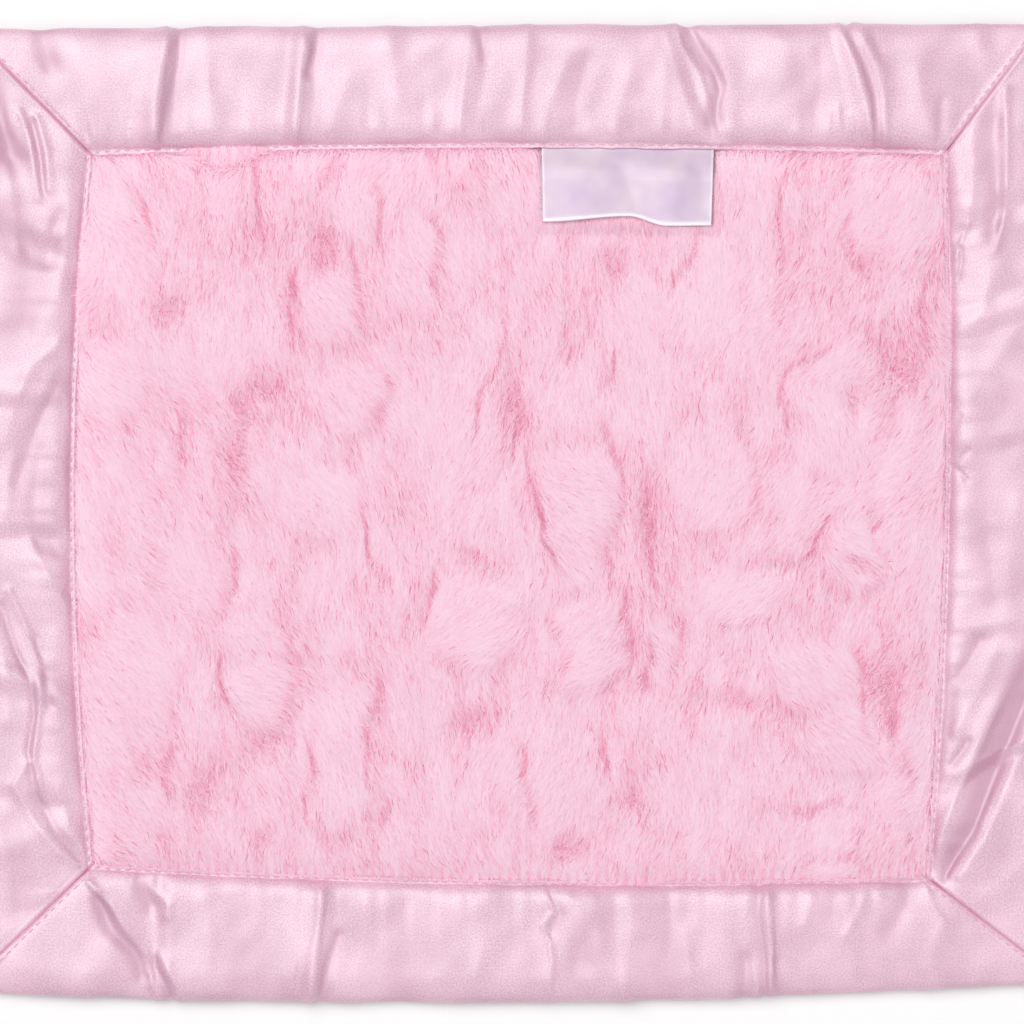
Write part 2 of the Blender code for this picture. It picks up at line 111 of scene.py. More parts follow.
# Folds and waves of the satin fade out over this run towards a mitre
MITRE_FADE_RUN = 0.0040
# Rows of the strip: one on its front face, those near the seam on its front, and those
# beside which a mitre is stitched
FRONT_ROW = 20
SEAM_ROW_COUNT = 30
MITRE_STITCH_ROWS = range(10, 66)

# Panels between the bindings
FUR_HEIGHT = 0.0095
FUR_SHOULDER_RUN = 0.0045
FUR_CROWN_RUN = 0.012
PILE_SHOULDER_FULLNESS = 0.75

# The pile's strands: their random numbers, and the chances of those that stand out: strays that
# lift, and flecks and streaks darkened as painted shade
PILE_SEED = 5
STRAY_CHANCE = 0.03
SHADE_FLECK_CHANCE = 0.15
SHADE_STREAK_CHANCE = 0.25
# The outermost strands are rooted this far in from the seam
ROOT_MARGIN = 0.0002

# Loop label
LABEL_WIDTH = 0.0635
LABEL_DROP = 0.0270
LABEL_CENTRE_OFFSET = 0.0445
LABEL_TAB_THICKNESS = 0.0008
LABEL_TAB_DEPTH = 0.0060
LABEL_HINGE_RUN = 0.0025
LABEL_RIBBON_THICKNESS = 0.0003
LABEL_FOLD_THICKNESS = 0.0014
LABEL_PRESS_HEIGHT = 0.0072
LABEL_SIDE_CLEARANCE = 0.0015
LABEL_RISE_RUN = 0.0080
# The pile stands up again beside the label over this run
PILE_RISE_RUN = 0.0025
# The label bends over this run when it turns up
LABEL_RIM_STEPS = (0, 0.0003, 0.0006, 0.0010)
PICOT_PITCH = 0.0011

# The creases of each side: place along its seam and along its outer fold, as shares of
# half the side, then half width and height as shares of the binding's width and crown
CREASE_SHARES = {
    "top": (
        (-0.852, -0.629, 0.15, 0.22),
        (-0.523, -0.374, 0.13, 0.17),
        (-0.147, -0.041, 0.15, 0.10),
        (0.471, 0.318, 0.16, -0.20),
        (0.845, 0.632, 0.15, 0.20),
    ),
    "right": (
        (-0.765, -0.652, 0.15, -0.17),
        (-0.515, -0.440, 0.15, 0.16),
        (-0.197, -0.170, 0.15, 0.08),
        (0.372, 0.260, 0.15, -0.10),
        (0.800, 0.480, 0.18, -0.25),
    ),
    "bottom": (
        (-0.850, -0.658, 0.16, -0.24),
        (-0.451, -0.368, 0.14, 0.20),
        (0.205, 0.148, 0.18, 0.12),
        (0.600, 0.461, 0.13, 0.18),
        (0.845, 0.640, 0.12, -0.10),
    ),
    "left": (
        (-0.690, -0.590, 0.16, -0.17),
        (-0.338, -0.250, 0.17, 0.17),
        (0.085, 0.060, 0.16, -0.15),
        (0.536, 0.300, 0.16, 0.18),
        (0.840, 0.600, 0.14, -0.17),
    ),
}

# Levels at the seam, from the floor up
BACK_LEG_BOTTOM = FLOOR_CLEARANCE + THREAD_DIAMETER + CLOTH_GAP
BACK_TONGUE_BOTTOM = BACK_LEG_BOTTOM + SATIN_THICKNESS + CLOTH_GAP
BACK_TONGUE_TOP = BACK_TONGUE_BOTTOM + BACK_TONGUE_THICKNESS
FUR_TONGUE_BOTTOM = BACK_TONGUE_TOP + CLOTH_GAP
FUR_TONGUE_TOP = FUR_TONGUE_BOTTOM + FUR_TONGUE_THICKNESS
FRONT_LEG_TOP = FUR_TONGUE_TOP + CLOTH_GAP + SATIN_THICKNESS
LABEL_TAB_MIDDLE = FUR_TONGUE_TOP + CLOTH_GAP + LABEL_TAB_THICKNESS / 2
LABEL_RISE = LABEL_TAB_THICKNESS + CLOTH_GAP

SIDE_CORNERS = {
    "top": ("top_left", "top_right"),
    "right": ("top_right", "bottom_right"),
    "bottom": ("bottom_left", "bottom_right"),
    "left": ("top_left", "bottom_left"),
}
OUTWARD = {"top": (0, 1), "right": (1, 0), "bottom": (0, -1), "left": (-1, 0)}
CORNER_SIGNS = {
    "top_left": (-1, 1),
    "top_right": (1, 1),
    "bottom_right": (1, -1),
    "bottom_left": (-1, -1),
}

# The photograph: metres to a pixel, the pixel over the origin, and pixels to a side
PX = 0.000372
PX_ORIGIN = (508.2, 513.2)
PHOTO_SIZE = 1024

# The stage
CAMERA_HEIGHT = 2.6
SENSOR_WIDTH = 36
TABLE_SIZE = 4
TABLE_LEVEL = -0.0002
TABLE_COLOUR = (0.87, 0.87, 0.87, 1)
TABLE_GLOW = 0.07
ROOM_LEVEL = 0.37

# Smooth noise: cells to a side before it repeats, and where it starts
DRIFT_CELLS = 96
DRIFT_START = (41.3, 37.7)
OUTLINE_STEP_COUNT = 101

# A fold's rounded section, how much wider than it the shade in it lies, and the depth in
# millimetres at which that shade is full
FOLD_ROUNDNESS = 1.6
FOLD_SHADE_SPREAD = 1.35
FULL_SHADE_DEPTH = 2.2

# The satin's own folds: height in millimetres, width to the left and right of its line, and
# the line
FOLDS = {
    "top": (
        (1.5, 9, 4, ((165, 22), (168, 42), (163, 65), (158, 95), (155, 150))),
        (-1.1, 7, 9, ((180, 25), (178, 60), (171, 100), (164, 135))),
        (-1.5, 9, 9, ((40, 22), (44, 45), (50, 66))),
        (0.5, 10, 10, ((70, 25), (85, 90), (95, 150))),
        (0.8, 10, 10, ((128, 60), (134, 100), (130, 150))),
        (0.8, 12, 12, ((205, 22), (208, 80), (216, 150))),
        (1.2, 8, 4, ((303, 22), (308, 55), (300, 85), (295, 150))),
        (-1.2, 6, 6, ((318, 22), (316, 50), (309, 72))),
        (0.6, 10, 12, ((350, 75), (335, 110), (325, 150))),
        (0.5, 9, 9, ((385, 22), (392, 60), (398, 100))),
        (0.7, 8, 5, ((471, 22), (466, 60), (462, 100), (460, 150))),
        (-1.1, 5, 6, ((478, 22), (482, 42), (484, 58))),
        (0.9, 12, 7, ((528, 20), (527, 60), (522, 110), (520, 150))),
        (0.7, 9, 9, ((566, 62), (552, 100), (541, 150))),
        (-0.5, 9, 9, ((588, 60), (575, 105), (568, 150))),
        (0.6, 14, 14, ((630, 70), (622, 110), (618, 150))),
        (0.5, 10, 10, ((665, 60), (666, 100), (660, 150))),
        (1.7, 16, 4, ((676, 22), (682, 45), (700, 75), (708, 100), (713, 125), (719, 150))),
        (-1.5, 8, 9, ((688, 24), (700, 48), (716, 75), (720, 92), (715, 118))),
        (0.7, 4, 16, ((697, 24), (713, 52), (729, 84), (720, 112), (719, 150))),
        (0.9, 22, 20, ((785, 45), (788, 90), (792, 150))),
        (-0.6, 10, 10, ((820, 50), (822, 80), (816, 110))),
        (1.0, 5, 3, ((838, 22), (858, 66), (868, 100), (874, 150))),
        (-1.2, 5, 5, ((846, 24), (866, 66), (874, 95), (878, 142))),
        (1.3, 3, 8, ((853, 22), (878, 72), (883, 98), (885, 150))),
        (-0.7, 4, 4, ((866, 24), (874, 42), (881, 56))),
        (0.5, 3, 3, ((830, 112), (826, 150))),
        (0.5, 3, 3, ((838, 108), (843, 150))),
        (0.5, 3, 3, ((851, 115), (857, 150))),
        (0.8, 8, 8, ((918, 70), (926, 110), (932, 150))),
        (-0.8, 5, 5, ((941, 100), (939, 140))),
        (0.9, 8, 8, ((978, 22), (980, 45), (986, 60))),
    ),
    "right": (
        (0.9, 10, 9, ((974, 90), (972, 140), (975, 180), (968, 222))),
        (-1.1, 12, 9, ((995, 120), (997, 180), (995, 238))),
        (1.1, 6, 4, ((1006, 90), (1007, 150), (1006, 210), (996, 250))),
        (0.8, 14, 10, ((1012, 190), (1004, 250), (985, 300))),
        (0.7, 12, 12, ((984, 240), (990, 270), (982, 310))),
        (-0.8, 4, 4, ((960, 248), (961, 262), (957, 278))),
        (0.6, 3, 3, ((969, 222), (962, 240), (955, 258))),
        (-0.5, 3, 3, ((954, 398), (951, 414))),
        (-0.5, 3, 3, ((961, 416), (954, 430))),
        (-0.7, 3, 3, ((968, 450), (953, 466), (967, 480))),
        (-0.6, 16, 16, ((1010, 400), (988, 440), (986, 520), (996, 600))),
        (0.5, 16, 16, ((1015, 330), (990, 370), (970, 400))),
        (0.6, 14, 14, ((1018, 500), (1010, 560), (1008, 620))),
        (-1.1, 8, 7, ((980, 640), (968, 662), (950, 684), (947, 735))),
        (0.6, 8, 8, ((1000, 640), (980, 690), (956, 730))),
        (-1.0, 6, 6, ((968, 742), (960, 754), (951, 764))),
        (0.7, 10, 10, ((1010, 640), (1016, 690))),
        (1.5, 12, 6, ((1026, 650), (1004, 692), (986, 730), (964, 780), (944, 830), (931, 862))),
        (-2.9, 20, 5, ((1050, 660), (1029, 695), (1014, 730), (994, 780), (974, 830), (946, 874))),
        (1.2, 4, 12, ((1066, 680), (1043, 706), (1026, 738), (1006, 788), (985, 838), (960, 876))),
        (0.5, 10, 10, ((1060, 830), (1010, 880), (980, 900))),
    ),
    "bottom": (
        (-1.2, 7, 6, ((140, 868), (138, 882), (150, 905))),
        (1.0, 5, 5, ((152, 866), (152, 888), (168, 905), (166, 915))),
        (-1.6, 8, 7, ((98, 900), (112, 930), (132, 950), (142, 976))),
        (1.3, 4, 6, ((86, 880), (112, 908), (130, 935), (146, 955), (152, 985), (160, 1008))),
        (-1.1, 6, 6, ((152, 964), (166, 985), (170, 1008))),
        (1.0, 4, 4, ((160, 955), (176, 985), (182, 1010))),
        (0.7, 10, 10, ((88, 975), (80, 1010))),
        (0.8, 14, 14, ((205, 900), (212, 950), (200, 1000))),
        (-0.5, 14, 14, ((238, 900), (246, 950), (250, 1005))),
        (1.0, 16, 7, ((305, 862), (306, 905), (300, 950), (290, 990))),
        (1.2, 6, 4, ((322, 870), (322, 905), (317, 945), (309, 1010))),
        (-1.0, 5, 6, ((338, 935), (328, 965), (318, 1008))),
        (-0.4, 18, 18, ((400, 880), (410, 940), (400, 1000))),
        (0.7, 12, 14, ((490, 880), (487, 930), (478, 970))),
        (0.6, 3, 3, ((540, 880), (554, 911), (543, 926), (550, 944), (552, 960), (547, 1010))),
        (-0.5, 5, 5, ((547, 890), (560, 915), (551, 932))),
        (0.9, 14, 14, ((552, 872), (575, 905), (600, 940), (622, 990))),
        (-0.7, 12, 12, ((600, 870), (600, 900), (585, 960))),
        (0.8, 10, 10, ((628, 872), (632, 930), (624, 1005))),
        (-0.5, 14, 14, ((668, 880), (672, 940), (650, 1000))),
        (0.8, 9, 9, ((685, 935), (690, 975), (694, 1008))),
        (-0.9, 8, 8, ((746, 960), (742, 1006))),
        (0.9, 6, 4, ((748, 875), (746, 920), (752, 960), (760, 1008))),
        (-1.0, 5, 4, ((759, 880), (758, 915), (763, 950), (766, 1006))),
        (1.4, 3, 5, ((768, 868), (767, 906), (771, 945), (771, 972), (768, 1010))),
        (-0.6, 4, 4, ((777, 960), (780, 992))),
        (0.8, 6, 7, ((805, 872), (812, 900), (804, 925))),
        (0.8, 7, 7, ((872, 872), (862, 905), (846, 936))),
        (-0.7, 9, 9, ((838, 880), (832, 915))),
        (-0.9, 9, 9, ((912, 880), (905, 905), (890, 930))),
        (0.8, 5, 5, ((925, 880), (932, 905), (945, 925))),
        (0.7, 9, 9, ((940, 935), (930, 975), (920, 1005))),
    ),
    "left": (
        (-2.6, 14, 12, ((-14, 80), (-1, 115), (10, 156))),
        (1.1, 5, 4, ((20, 112), (30, 140), (34, 165), (40, 196))),
        (-1.0, 4, 4, ((32, 122), (40, 160), (43, 192))),
        (0.9, 4, 5, ((36, 116), (46, 150), (48, 190))),
        (0.7, 6, 6, ((6, 165), (12, 200), (18, 250))),
        (-0.8, 8, 8, ((60, 215), (53, 235), (47, 262))),
        (0.6, 9, 9, ((72, 200), (66, 240), (62, 300))),
        (-1.0, 14, 14, ((10, 215), (30, 260), (24, 330))),
        (1.1, 12, 12, ((60, 345), (32, 365), (16, 400), (4, 440))),
        (-0.9, 10, 10, ((62, 380), (44, 410), (30, 445), (18, 480))),
        (0.7, 9, 9, ((66, 410), (62, 450), (62, 478))),
        (0.7, 9, 9, ((12, 460), (6, 510))),
        (-0.7, 9, 9, ((40, 450), (34, 500), (38, 545))),
        (0.8, 7, 7, ((30, 540), (48, 575), (66, 610))),
        (-0.7, 8, 8, ((50, 540), (66, 560), (70, 590))),
        (0.9, 6, 3, ((10, 590), (28, 630), (40, 665), (42, 700), (38, 730), (34, 760), (44, 800))),
        (-0.9, 4, 4, ((0, 605), (15, 650), (32, 684), (34, 715), (28, 750), (34, 785))),
        (0.8, 10, 10, ((-6, 620), (6, 670), (8, 720))),
        (-0.8, 6, 6, ((34, 640), (44, 676), (50, 705))),
        (0.9, 5, 5, ((28, 762), (14, 786), (34, 822), (60, 852), (84, 870))),
        (-1.0, 5, 6, ((36, 795), (55, 830), (78, 858))),
        (0.8, 8, 8, ((58, 790), (70, 825), (84, 855))),
        (-0.6, 10, 10, ((10, 830), (20, 870), (20, 910))),
    ),
}

# The wave of the label's lower edge: places from its left to its right side, and how far
# down it hangs there in millimetres
LABEL_WAVE = ((-1, 0.6), (0.02, -1.9), (0.46, 1.8), (1, 1.5))

# The label's own folds, in the same way
LABEL_FOLDS = (
    (0.5, 26, 26, ((575, 150), (590, 185), (580, 222))),
    (-0.35, 16, 16, ((612, 150), (628, 185), (640, 222))),
    (0.45, 22, 22, ((668, 150), (676, 185), (668, 222))),
    (-0.25, 10, 10, ((700, 165), (705, 200))),
)

# The pile's lumps: middle, half width and half height, comb angle in degrees, and height in
# millimetres
LUMPS = (
    (113, 243, 38, 55, -25, 1.3),
    (357, 212, 27, 32, -60, 1.0),
    (335, 300, 30, 42, -35, 1.6),
    (418, 262, 28, 52, -50, 1.2),
    (347, 395, 34, 36, -40, 1.5),
    (112, 375, 38, 42, -35, 1.0),
    (318, 500, 42, 40, -50, 1.2),
    (232, 340, 30, 60, -100, 0.8),
    (845, 385, 48, 50, -150, 1.2),
    (835, 425, 42, 52, -60, 1.3),
    (575, 510, 40, 74, -20, 2.2),
    (482, 618, 46, 52, -160, 1.8),
    (592, 642, 38, 48, -155, 1.8),
    (658, 655, 22, 38, -40, 1.2),
    (122, 690, 44, 82, -35, 1.5),
    (250, 640, 26, 28, -45, 1.0),
    (258, 695, 35, 36, -20, 1.5),
    (345, 750, 31, 82, -70, 1.6),
    (418, 690, 30, 60, -80, 0.8),
    (745, 590, 50, 26, -150, 1.2),
    (855, 552, 36, 34, -15, 1.4),
    (815, 668, 46, 42, -25, 1.5),
    (840, 735, 56, 34, -20, 1.6),
    (545, 765, 50, 66, -120, 1.6),
    (912, 765, 28, 60, -150, 1.2),
    (836, 872, 36, 18, -170, 1.2),
    (700, 290, 40, 60, -95, 0.8),
    (635, 330, 30, 60, -75, 0.8),
    (890, 215, 55, 45, -130, 0.8),
    (705, 480, 40, 60, -110, 0.7),
    (470, 430, 26, 60, -110, 0.9),
)

# Lines along which the pile parts, each a depth in millimetres and its points
PARTINGS = (
    (1.3, ((533, 440), (535, 492), (542, 540), (559, 570))),
    (1.2, ((600, 420), (613, 457), (622, 503), (616, 557), (611, 590))),
    (1.2, ((500, 310), (491, 365), (480, 398), (471, 448))),
    (0.9, ((563, 330), (560, 365))),
    (0.9, ((616, 345), (611, 368), (605, 384))),
    (1.0, ((375, 370), (381, 385), (377, 422))),
    (0.9, ((514, 425), (510, 470))),
    (0.9, ((359, 492), (368, 531), (375, 557), (388, 589))),
    (1.0, ((646, 470), (652, 500), (657, 524), (646, 548), (657, 600))),
    (0.9, ((436, 575), (432, 615))),
    (1.0, ((552, 611), (556, 645), (564, 680))),
    (1.1, ((622, 590), (630, 618), (632, 655))),
    (0.8, ((470, 546), (479, 559), (492, 570))),
    (1.1, ((257, 155), (259, 200), (266, 240))),
    (1.1, ((294, 268), (294, 294), (298, 335))),
    (0.9, ((342, 235), (350, 260), (362, 300), (362, 330))),
    (1.0, ((428, 212), (444, 248), (438, 296))),
    (0.9, ((144, 192), (150, 215), (148, 250))),
    (0.9, ((375, 180), (386, 215), (387, 245))),
    (1.0, ((187, 400), (183, 437), (176, 478))),
    (0.8, ((245, 300), (247, 318))),
    (1.1, ((224, 550), (227, 575), (227, 610))),
    (1.0, ((224, 655), (224, 690), (232, 715))),
    (1.0, ((292, 660), (294, 680), (280, 715), (268, 728))),
    (1.1, ((375, 672), (374, 700), (368, 740), (366, 780))),
    (1.1, ((306, 735), (308, 790), (310, 828))),
    (0.9, ((378, 790), (384, 822))),
    (0.9, ((310, 830), (330, 838), (360, 832))),
    (1.0, ((170, 740), (168, 790))),
    (1.2, ((519, 730), (521, 800), (531, 824))),
    (0.9, ((604, 740), (606, 770))),
    (0.9, ((779, 175), (782, 240), (784, 270))),
    (1.0, ((848, 210), (852, 240), (864, 278))),
    (1.1, ((930, 275), (928, 310), (936, 345))),
    (0.9, ((827, 345), (800, 365), (786, 395), (783, 430))),
    (0.9, ((676, 272), (678, 290))),
    (0.8, ((690, 235), (690, 255), (678, 290))),
    (1.1, ((793, 560), (812, 545), (828, 522))),
    (1.0, ((740, 572), (770, 564), (795, 562))),
    (1.0, ((815, 580), (835, 590), (862, 588), (876, 570))),
    (1.0, ((873, 515), (886, 545), (880, 570))),
    (1.0, ((848, 640), (856, 660), (862, 690), (872, 740))),
    (1.1, ((884, 745), (905, 770), (908, 800))),
    (1.0, ((770, 810), (810, 812), (850, 806))),
    (0.9, ((672, 612), (680, 645), (668, 672))),
    (0.9, ((905, 770), (900, 740), (894, 700))),
    (0.8, ((640, 700), (645, 660), (650, 640))),
    (0.9, ((805, 872), (820, 858), (850, 852), (872, 868))),
)

# Spots where the pile stands thin, with painted shade in them: middle, half width, half height
SPOTS = (
    (315, 240, 13, 26),
    (272, 383, 18, 11),
    (240, 410, 9, 20),
    (232, 455, 12, 20),
    (165, 305, 22, 14),
    (516, 400, 12, 30),
    (205, 775, 24, 30),
    (255, 740, 16, 14),
    (262, 840, 10, 12),
    (472, 712, 22, 10),
    (890, 680, 22, 24),
    (632, 795, 9, 12),
    (612, 255, 10, 16),
    (650, 520, 9, 30),
    (560, 850, 28, 14),
    (740, 700, 30, 8),
    (855, 560, 14, 8),
    (905, 360, 26, 30),
    (855, 395, 14, 14),
    (330, 170, 12, 7),
)

# Where the pile spills over the seam: middle and reach
OVERHANGS = (((225, 150), 50), ((75, 270), 60), ((950, 330), 45), ((640, 882), 22))


def ease(share):
    """A smooth step from 0 to 1 as the share goes from 0 to 1."""
    share = np.clip(share, 0, 1)
    return share * share * (3 - 2 * share)


def mix(start, end, share):
    """The value that lies the given share of the way from start to end."""
    return start + (end - start) * share


def bell(distance, width):
    """A smooth bump of 1 at distance 0, about the given width to each side."""
    share = distance / width
    return np.exp(-share * share)


def place_of(points):
    """Places read off the photograph in pixels, in metres in the plane."""
    return (np.asarray(points, float) - PX_ORIGIN) * (PX, -PX)


def drift(x, y, pitch, seed):
    """Smooth noise from -1 to 1 over the plane, with features about a pitch wide."""
    size = DRIFT_CELLS + 1
    lattice = np.random.default_rng(seed).uniform(-1, 1, (size, size))
    u, v = x / pitch + DRIFT_START[0], y / pitch + DRIFT_START[1]
    i, j = np.floor(u).astype(int), np.floor(v).astype(int)
    f, g = ease(u - i), ease(v - j)
    i, j = i % DRIFT_CELLS, j % DRIFT_CELLS
    low = mix(lattice[i, j], lattice[i + 1, j], f)
    high = mix(lattice[i, j + 1], lattice[i + 1, j + 1], f)
    return mix(low, high, g)


def corner(name, inset, sway_shares):
    """A sewn corner in the plane, that far in from the outer one, before centring."""
    signs = CORNER_SIGNS[name]
    sway = sway_shares[name]
    return np.array(
        (
            signs[0] * (BLANKET_WIDTH / 2 - inset) + sway[0] * BINDING_WIDTH,
            signs[1] * (BLANKET_DEPTH / 2 - inset) + sway[1] * BINDING_WIDTH,
        )
    )


def outer_corner(name):
    """Where the outer folds of two bindings meet."""
    return corner(name, 0, OUTER_SWAY_SHARES)


def inner_corner(name):
    """Where the seams of two bindings meet."""
    return corner(name, BINDING_WIDTH, INNER_SWAY_SHARES)


def side_half(side, corner_of):
    """Half the straight length between the two corners of a side."""
    first, last = (corner_of(name) for name in SIDE_CORNERS[side])
    return float(np.linalg.norm(last - first)) / 2


def edge_point(side, along, corner_of, bow):
    """Points of the bowed line between the two corners of a side."""
    first, last = (corner_of(name) for name in SIDE_CORNERS[side])
    along = np.asarray(along, float)[..., None]
    bulge = np.array(OUTWARD[side]) * bow[side]
    return mix(first, last, (along + 1) / 2) + bulge * (1 - along * along)


def outline_centre():
    """The middle of the box round the outer folds."""
    steps = np.linspace(-1, 1, OUTLINE_STEP_COUNT)
    sides = [edge_point(side, steps, outer_corner, OUTER_BOW) for side in SIDE_CORNERS]
    points = np.concatenate(sides)
    return (points.min(0) + points.max(0)) / 2


CENTRE = outline_centre()
PANEL_HALF_WIDTH = side_half("top", inner_corner)
PANEL_HALF_DEPTH = side_half("left", inner_corner)


def fold_share(side, seam_share):
    """The share along the outer fold that the creases join to a share along the seam."""
    knots = [(-1, -1), *(crease[:2] for crease in CREASE_SHARES[side]), (1, 1)]
    return np.interp(seam_share, *zip(*knots))


def line_point(side, seam_share, outer_share, across):
    """Points on the straight line from the outer fold to the seam, that far across it."""
    outer = edge_point(side, outer_share, outer_corner, OUTER_BOW)
    inner = edge_point(side, seam_share, inner_corner, SEAM_BOW)
    return mix(outer, inner, np.asarray(across, float)[..., None] / BINDING_WIDTH) - CENTRE


def binding_point(side, seam_share, across):
    """Points in the plane on the crease line through a share of the seam."""
    return line_point(side, seam_share, fold_share(side, seam_share), across)


def panel_point(across, up):
    """Points in the plane from the panel's own shares, which are -1 and 1 at its seams."""
    across, up = (np.asarray(share, float)[..., None] for share in (across, up))
    left = mix(inner_corner("bottom_left"), inner_corner("top_left"), (up + 1) / 2)
    right = mix(inner_corner("bottom_right"), inner_corner("top_right"), (up + 1) / 2)
    point = mix(left, right, (across + 1) / 2)
    side_bulge = np.maximum(0, 1 - up * up)[..., 0] / 2
    end_bulge = np.maximum(0, 1 - across * across)[..., 0] / 2
    across, up = across[..., 0], up[..., 0]
    sideways = SEAM_BOW["right"] * (1 + across) - SEAM_BOW["left"] * (1 - across)
    endways = SEAM_BOW["top"] * (1 + up) - SEAM_BOW["bottom"] * (1 - up)
    point[..., 0] += side_bulge * sideways
    point[..., 1] += end_bulge * endways
    return point - CENTRE


def panel_shares(x, y):
    """The panel's shares at places in the plane."""
    middle = panel_point(0.0, 0.0)
    across = (x - middle[0]) / PANEL_HALF_WIDTH
    up = (y - middle[1]) / PANEL_HALF_DEPTH
    for _ in range(3):
        found = panel_point(across, up)
        across = across + (x - found[..., 0]) / PANEL_HALF_WIDTH
        up = up + (y - found[..., 1]) / PANEL_HALF_DEPTH
    return across, up


def seam_distances(across, up):
    """The distances in from the panel's nearer side seam and from its nearer end seam."""
    return (1 - np.abs(across)) * PANEL_HALF_WIDTH, (1 - np.abs(up)) * PANEL_HALF_DEPTH


def panel_edge(across, up):
    """The distance in from the panel's nearest seam, less than 0 beyond it."""
    return np.minimum(*seam_distances(across, up))


def top_share(place):
    """The share along the top seam of a place that far right of the blanket's centre."""
    first, last = (inner_corner(name)[0] for name in SIDE_CORNERS["top"])
    return (place + CENTRE[0] - (first + last) / 2) / ((last - first) / 2)


LABEL_PATCH = (
    top_share(LABEL_CENTRE_OFFSET - LABEL_WIDTH / 2 - LABEL_SIDE_CLEARANCE),
    top_share(LABEL_CENTRE_OFFSET + LABEL_WIDTH / 2 + LABEL_SIDE_CLEARANCE),
)


def label_cover(along, run, slack=0):
    """1 where the label lies, going to 0 over the run on each side of it."""
    outside = np.maximum(np.maximum(LABEL_PATCH[0] - along, along - LABEL_PATCH[1]) + slack, 0)
    return 1 - ease(outside * PANEL_HALF_WIDTH / run)


def hem_top(side, seam_share):
    """The height of the front hem, which rises where the label's tab is sewn in under it."""
    if side == "top":
        return FRONT_LEG_TOP + LABEL_RISE * label_cover(seam_share, LABEL_RISE_RUN)
    return FRONT_LEG_TOP + 0 * seam_share


def crown_height(side, seam_share):
    """The height of the crown, raised or sunk by the creases and drawn down at the mitres."""
    half = side_half(side, inner_corner)
    height = CROWN_HEIGHT + 0 * seam_share
    for seam, _, width, lift in CREASE_SHARES[side]:
        distance = np.abs(seam_share - seam) * half
        height = height + lift * CROWN_HEIGHT * ease(1 - distance / (width * BINDING_WIDTH))
    distance = (1 - np.abs(seam_share)) * half
    return height - MITRE_DIP * np.maximum(0, 1 - distance / MITRE_DIP_RUN)


def runs(lengths):
    """How far along a line each of its points lies, from the lengths between them."""
    return np.concatenate(([0], np.cumsum(lengths)))


def unit(vectors):
    """The same ways with a length of 1."""
    return vectors / np.linalg.norm(vectors, axis=-1, keepdims=True)


def raised_to(plane, height):
    """Places over points of the plane."""
    return np.concatenate((plane, height[..., None]), -1)


def line_distance(x, y, line):
    """Distance to a line of points, the side of it from -1 on its left to 1 on its right,
    and the share along it."""
    best = np.full(x.shape, np.inf)
    side = np.zeros(x.shape)
    share = np.zeros(x.shape)
    ways = np.diff(line, axis=0)
    lengths = np.hypot(*ways.T)
    starts = runs(lengths)
    for start, way, length, before in zip(line, ways, lengths, starts):
        way = way / length
        dx, dy = x - start[0], y - start[1]
        along = np.clip(dx * way[0] + dy * way[1], 0, length)
        away = np.hypot(dx - along * way[0], dy - along * way[1])
        near = away < best
        best = np.where(near, away, best)
        side = np.where(near, (dx * way[1] - dy * way[0]) / np.maximum(away, 1e-9), side)
        share = np.where(near, (before + along) / starts[-1], share)
    return best, side, share


def beside_seam(across, up):
    """Whether the nearest seam is one of the two at the panel's sides."""
    side, end = seam_distances(across, up)
    return side < end


def mitre_distance(side, plane):
    """The distance to the nearest of a side's two mitres, at places in the plane."""
    found = []
    for name in SIDE_CORNERS[side]:
        start = inner_corner(name) - CENTRE
        way = outer_corner(name) - inner_corner(name)
        way = way / np.linalg.norm(way)
        dx, dy = plane[..., 0] - start[0], plane[..., 1] - start[1]
        found.append(np.abs(dx * way[1] - dy * way[0]))
    return np.minimum(*found)


def fold_relief(folds, x, y):
    """How far folds stand off a cloth's plain form at places in the plane, and how much
    shade lies in those that sink."""
    relief = np.zeros(x.shape)
    shade = np.zeros(x.shape)
    swell = (1 + 0.35 * drift(x, y, 0.013, 16)) * PX
    for height, left, right, line in folds:
        distance, hand, _ = line_distance(x, y, place_of(line))
        width = mix(right, left, (np.clip(hand, -1, 1) + 1) / 2) * swell
        relief += height / 1000 * np.exp(-((distance / width) ** FOLD_ROUNDNESS))
        if height < 0:
            spread = np.exp(-((distance / width / FOLD_SHADE_SPREAD) ** 4))
            shade = np.maximum(shade, min(-height / FULL_SHADE_DEPTH, 1) * spread)
    return relief * (0.9 + 0.2 * drift(x, y, 0.02, 17)), shade


def sheet_mesh(name, places, **maps):
    """A sheet with a point for each row and column of places, and its own maps in metres."""
    rows, columns = places.shape[:2]

    def grid(bm):
        bmesh.ops.create_grid(bm, x_segments=columns - 1, y_segments=rows - 1, size=1)

    mesh = mesh_of(name, grid)
    shares = (points_of(mesh) + 1) / 2
    column = np.rint(shares[:, 0] * (columns - 1)).astype(int)
    row = np.rint(shares[:, 1] * (rows - 1)).astype(int)
    mesh.vertices.foreach_set("co", places[row, column].ravel())
    for map_name, values in maps.items():
        layer = mesh.uv_layers.new(name=map_name)
        layer.uv.foreach_set("vector", values[row, column][face_corners(mesh)].ravel())
    mesh.update()
    return mesh


def mesh_of(name, build):
    """A new mesh in the form that a function builds."""
    bm = bmesh.new()
    build(bm)
    mesh = bpy.data.meshes.new(name)
    bm.to_mesh(mesh)
    bm.free()
    return mesh


def reshaped(mesh, change):
    """Gives a mesh what a function makes of it."""
    bm = bmesh.new()
    bm.from_mesh(mesh)
    change(bm)
    bm.to_mesh(mesh)
    bm.free()


def linked(name, data):
    """A new object of the scene."""
    obj = bpy.data.objects.new(name, data)
    bpy.context.collection.objects.link(obj)
    return obj


def points_of(mesh):
    """A mesh's points."""
    found = np.empty(len(mesh.vertices) * 3)
    mesh.vertices.foreach_get("co", found)
    return found.reshape(-1, 3)


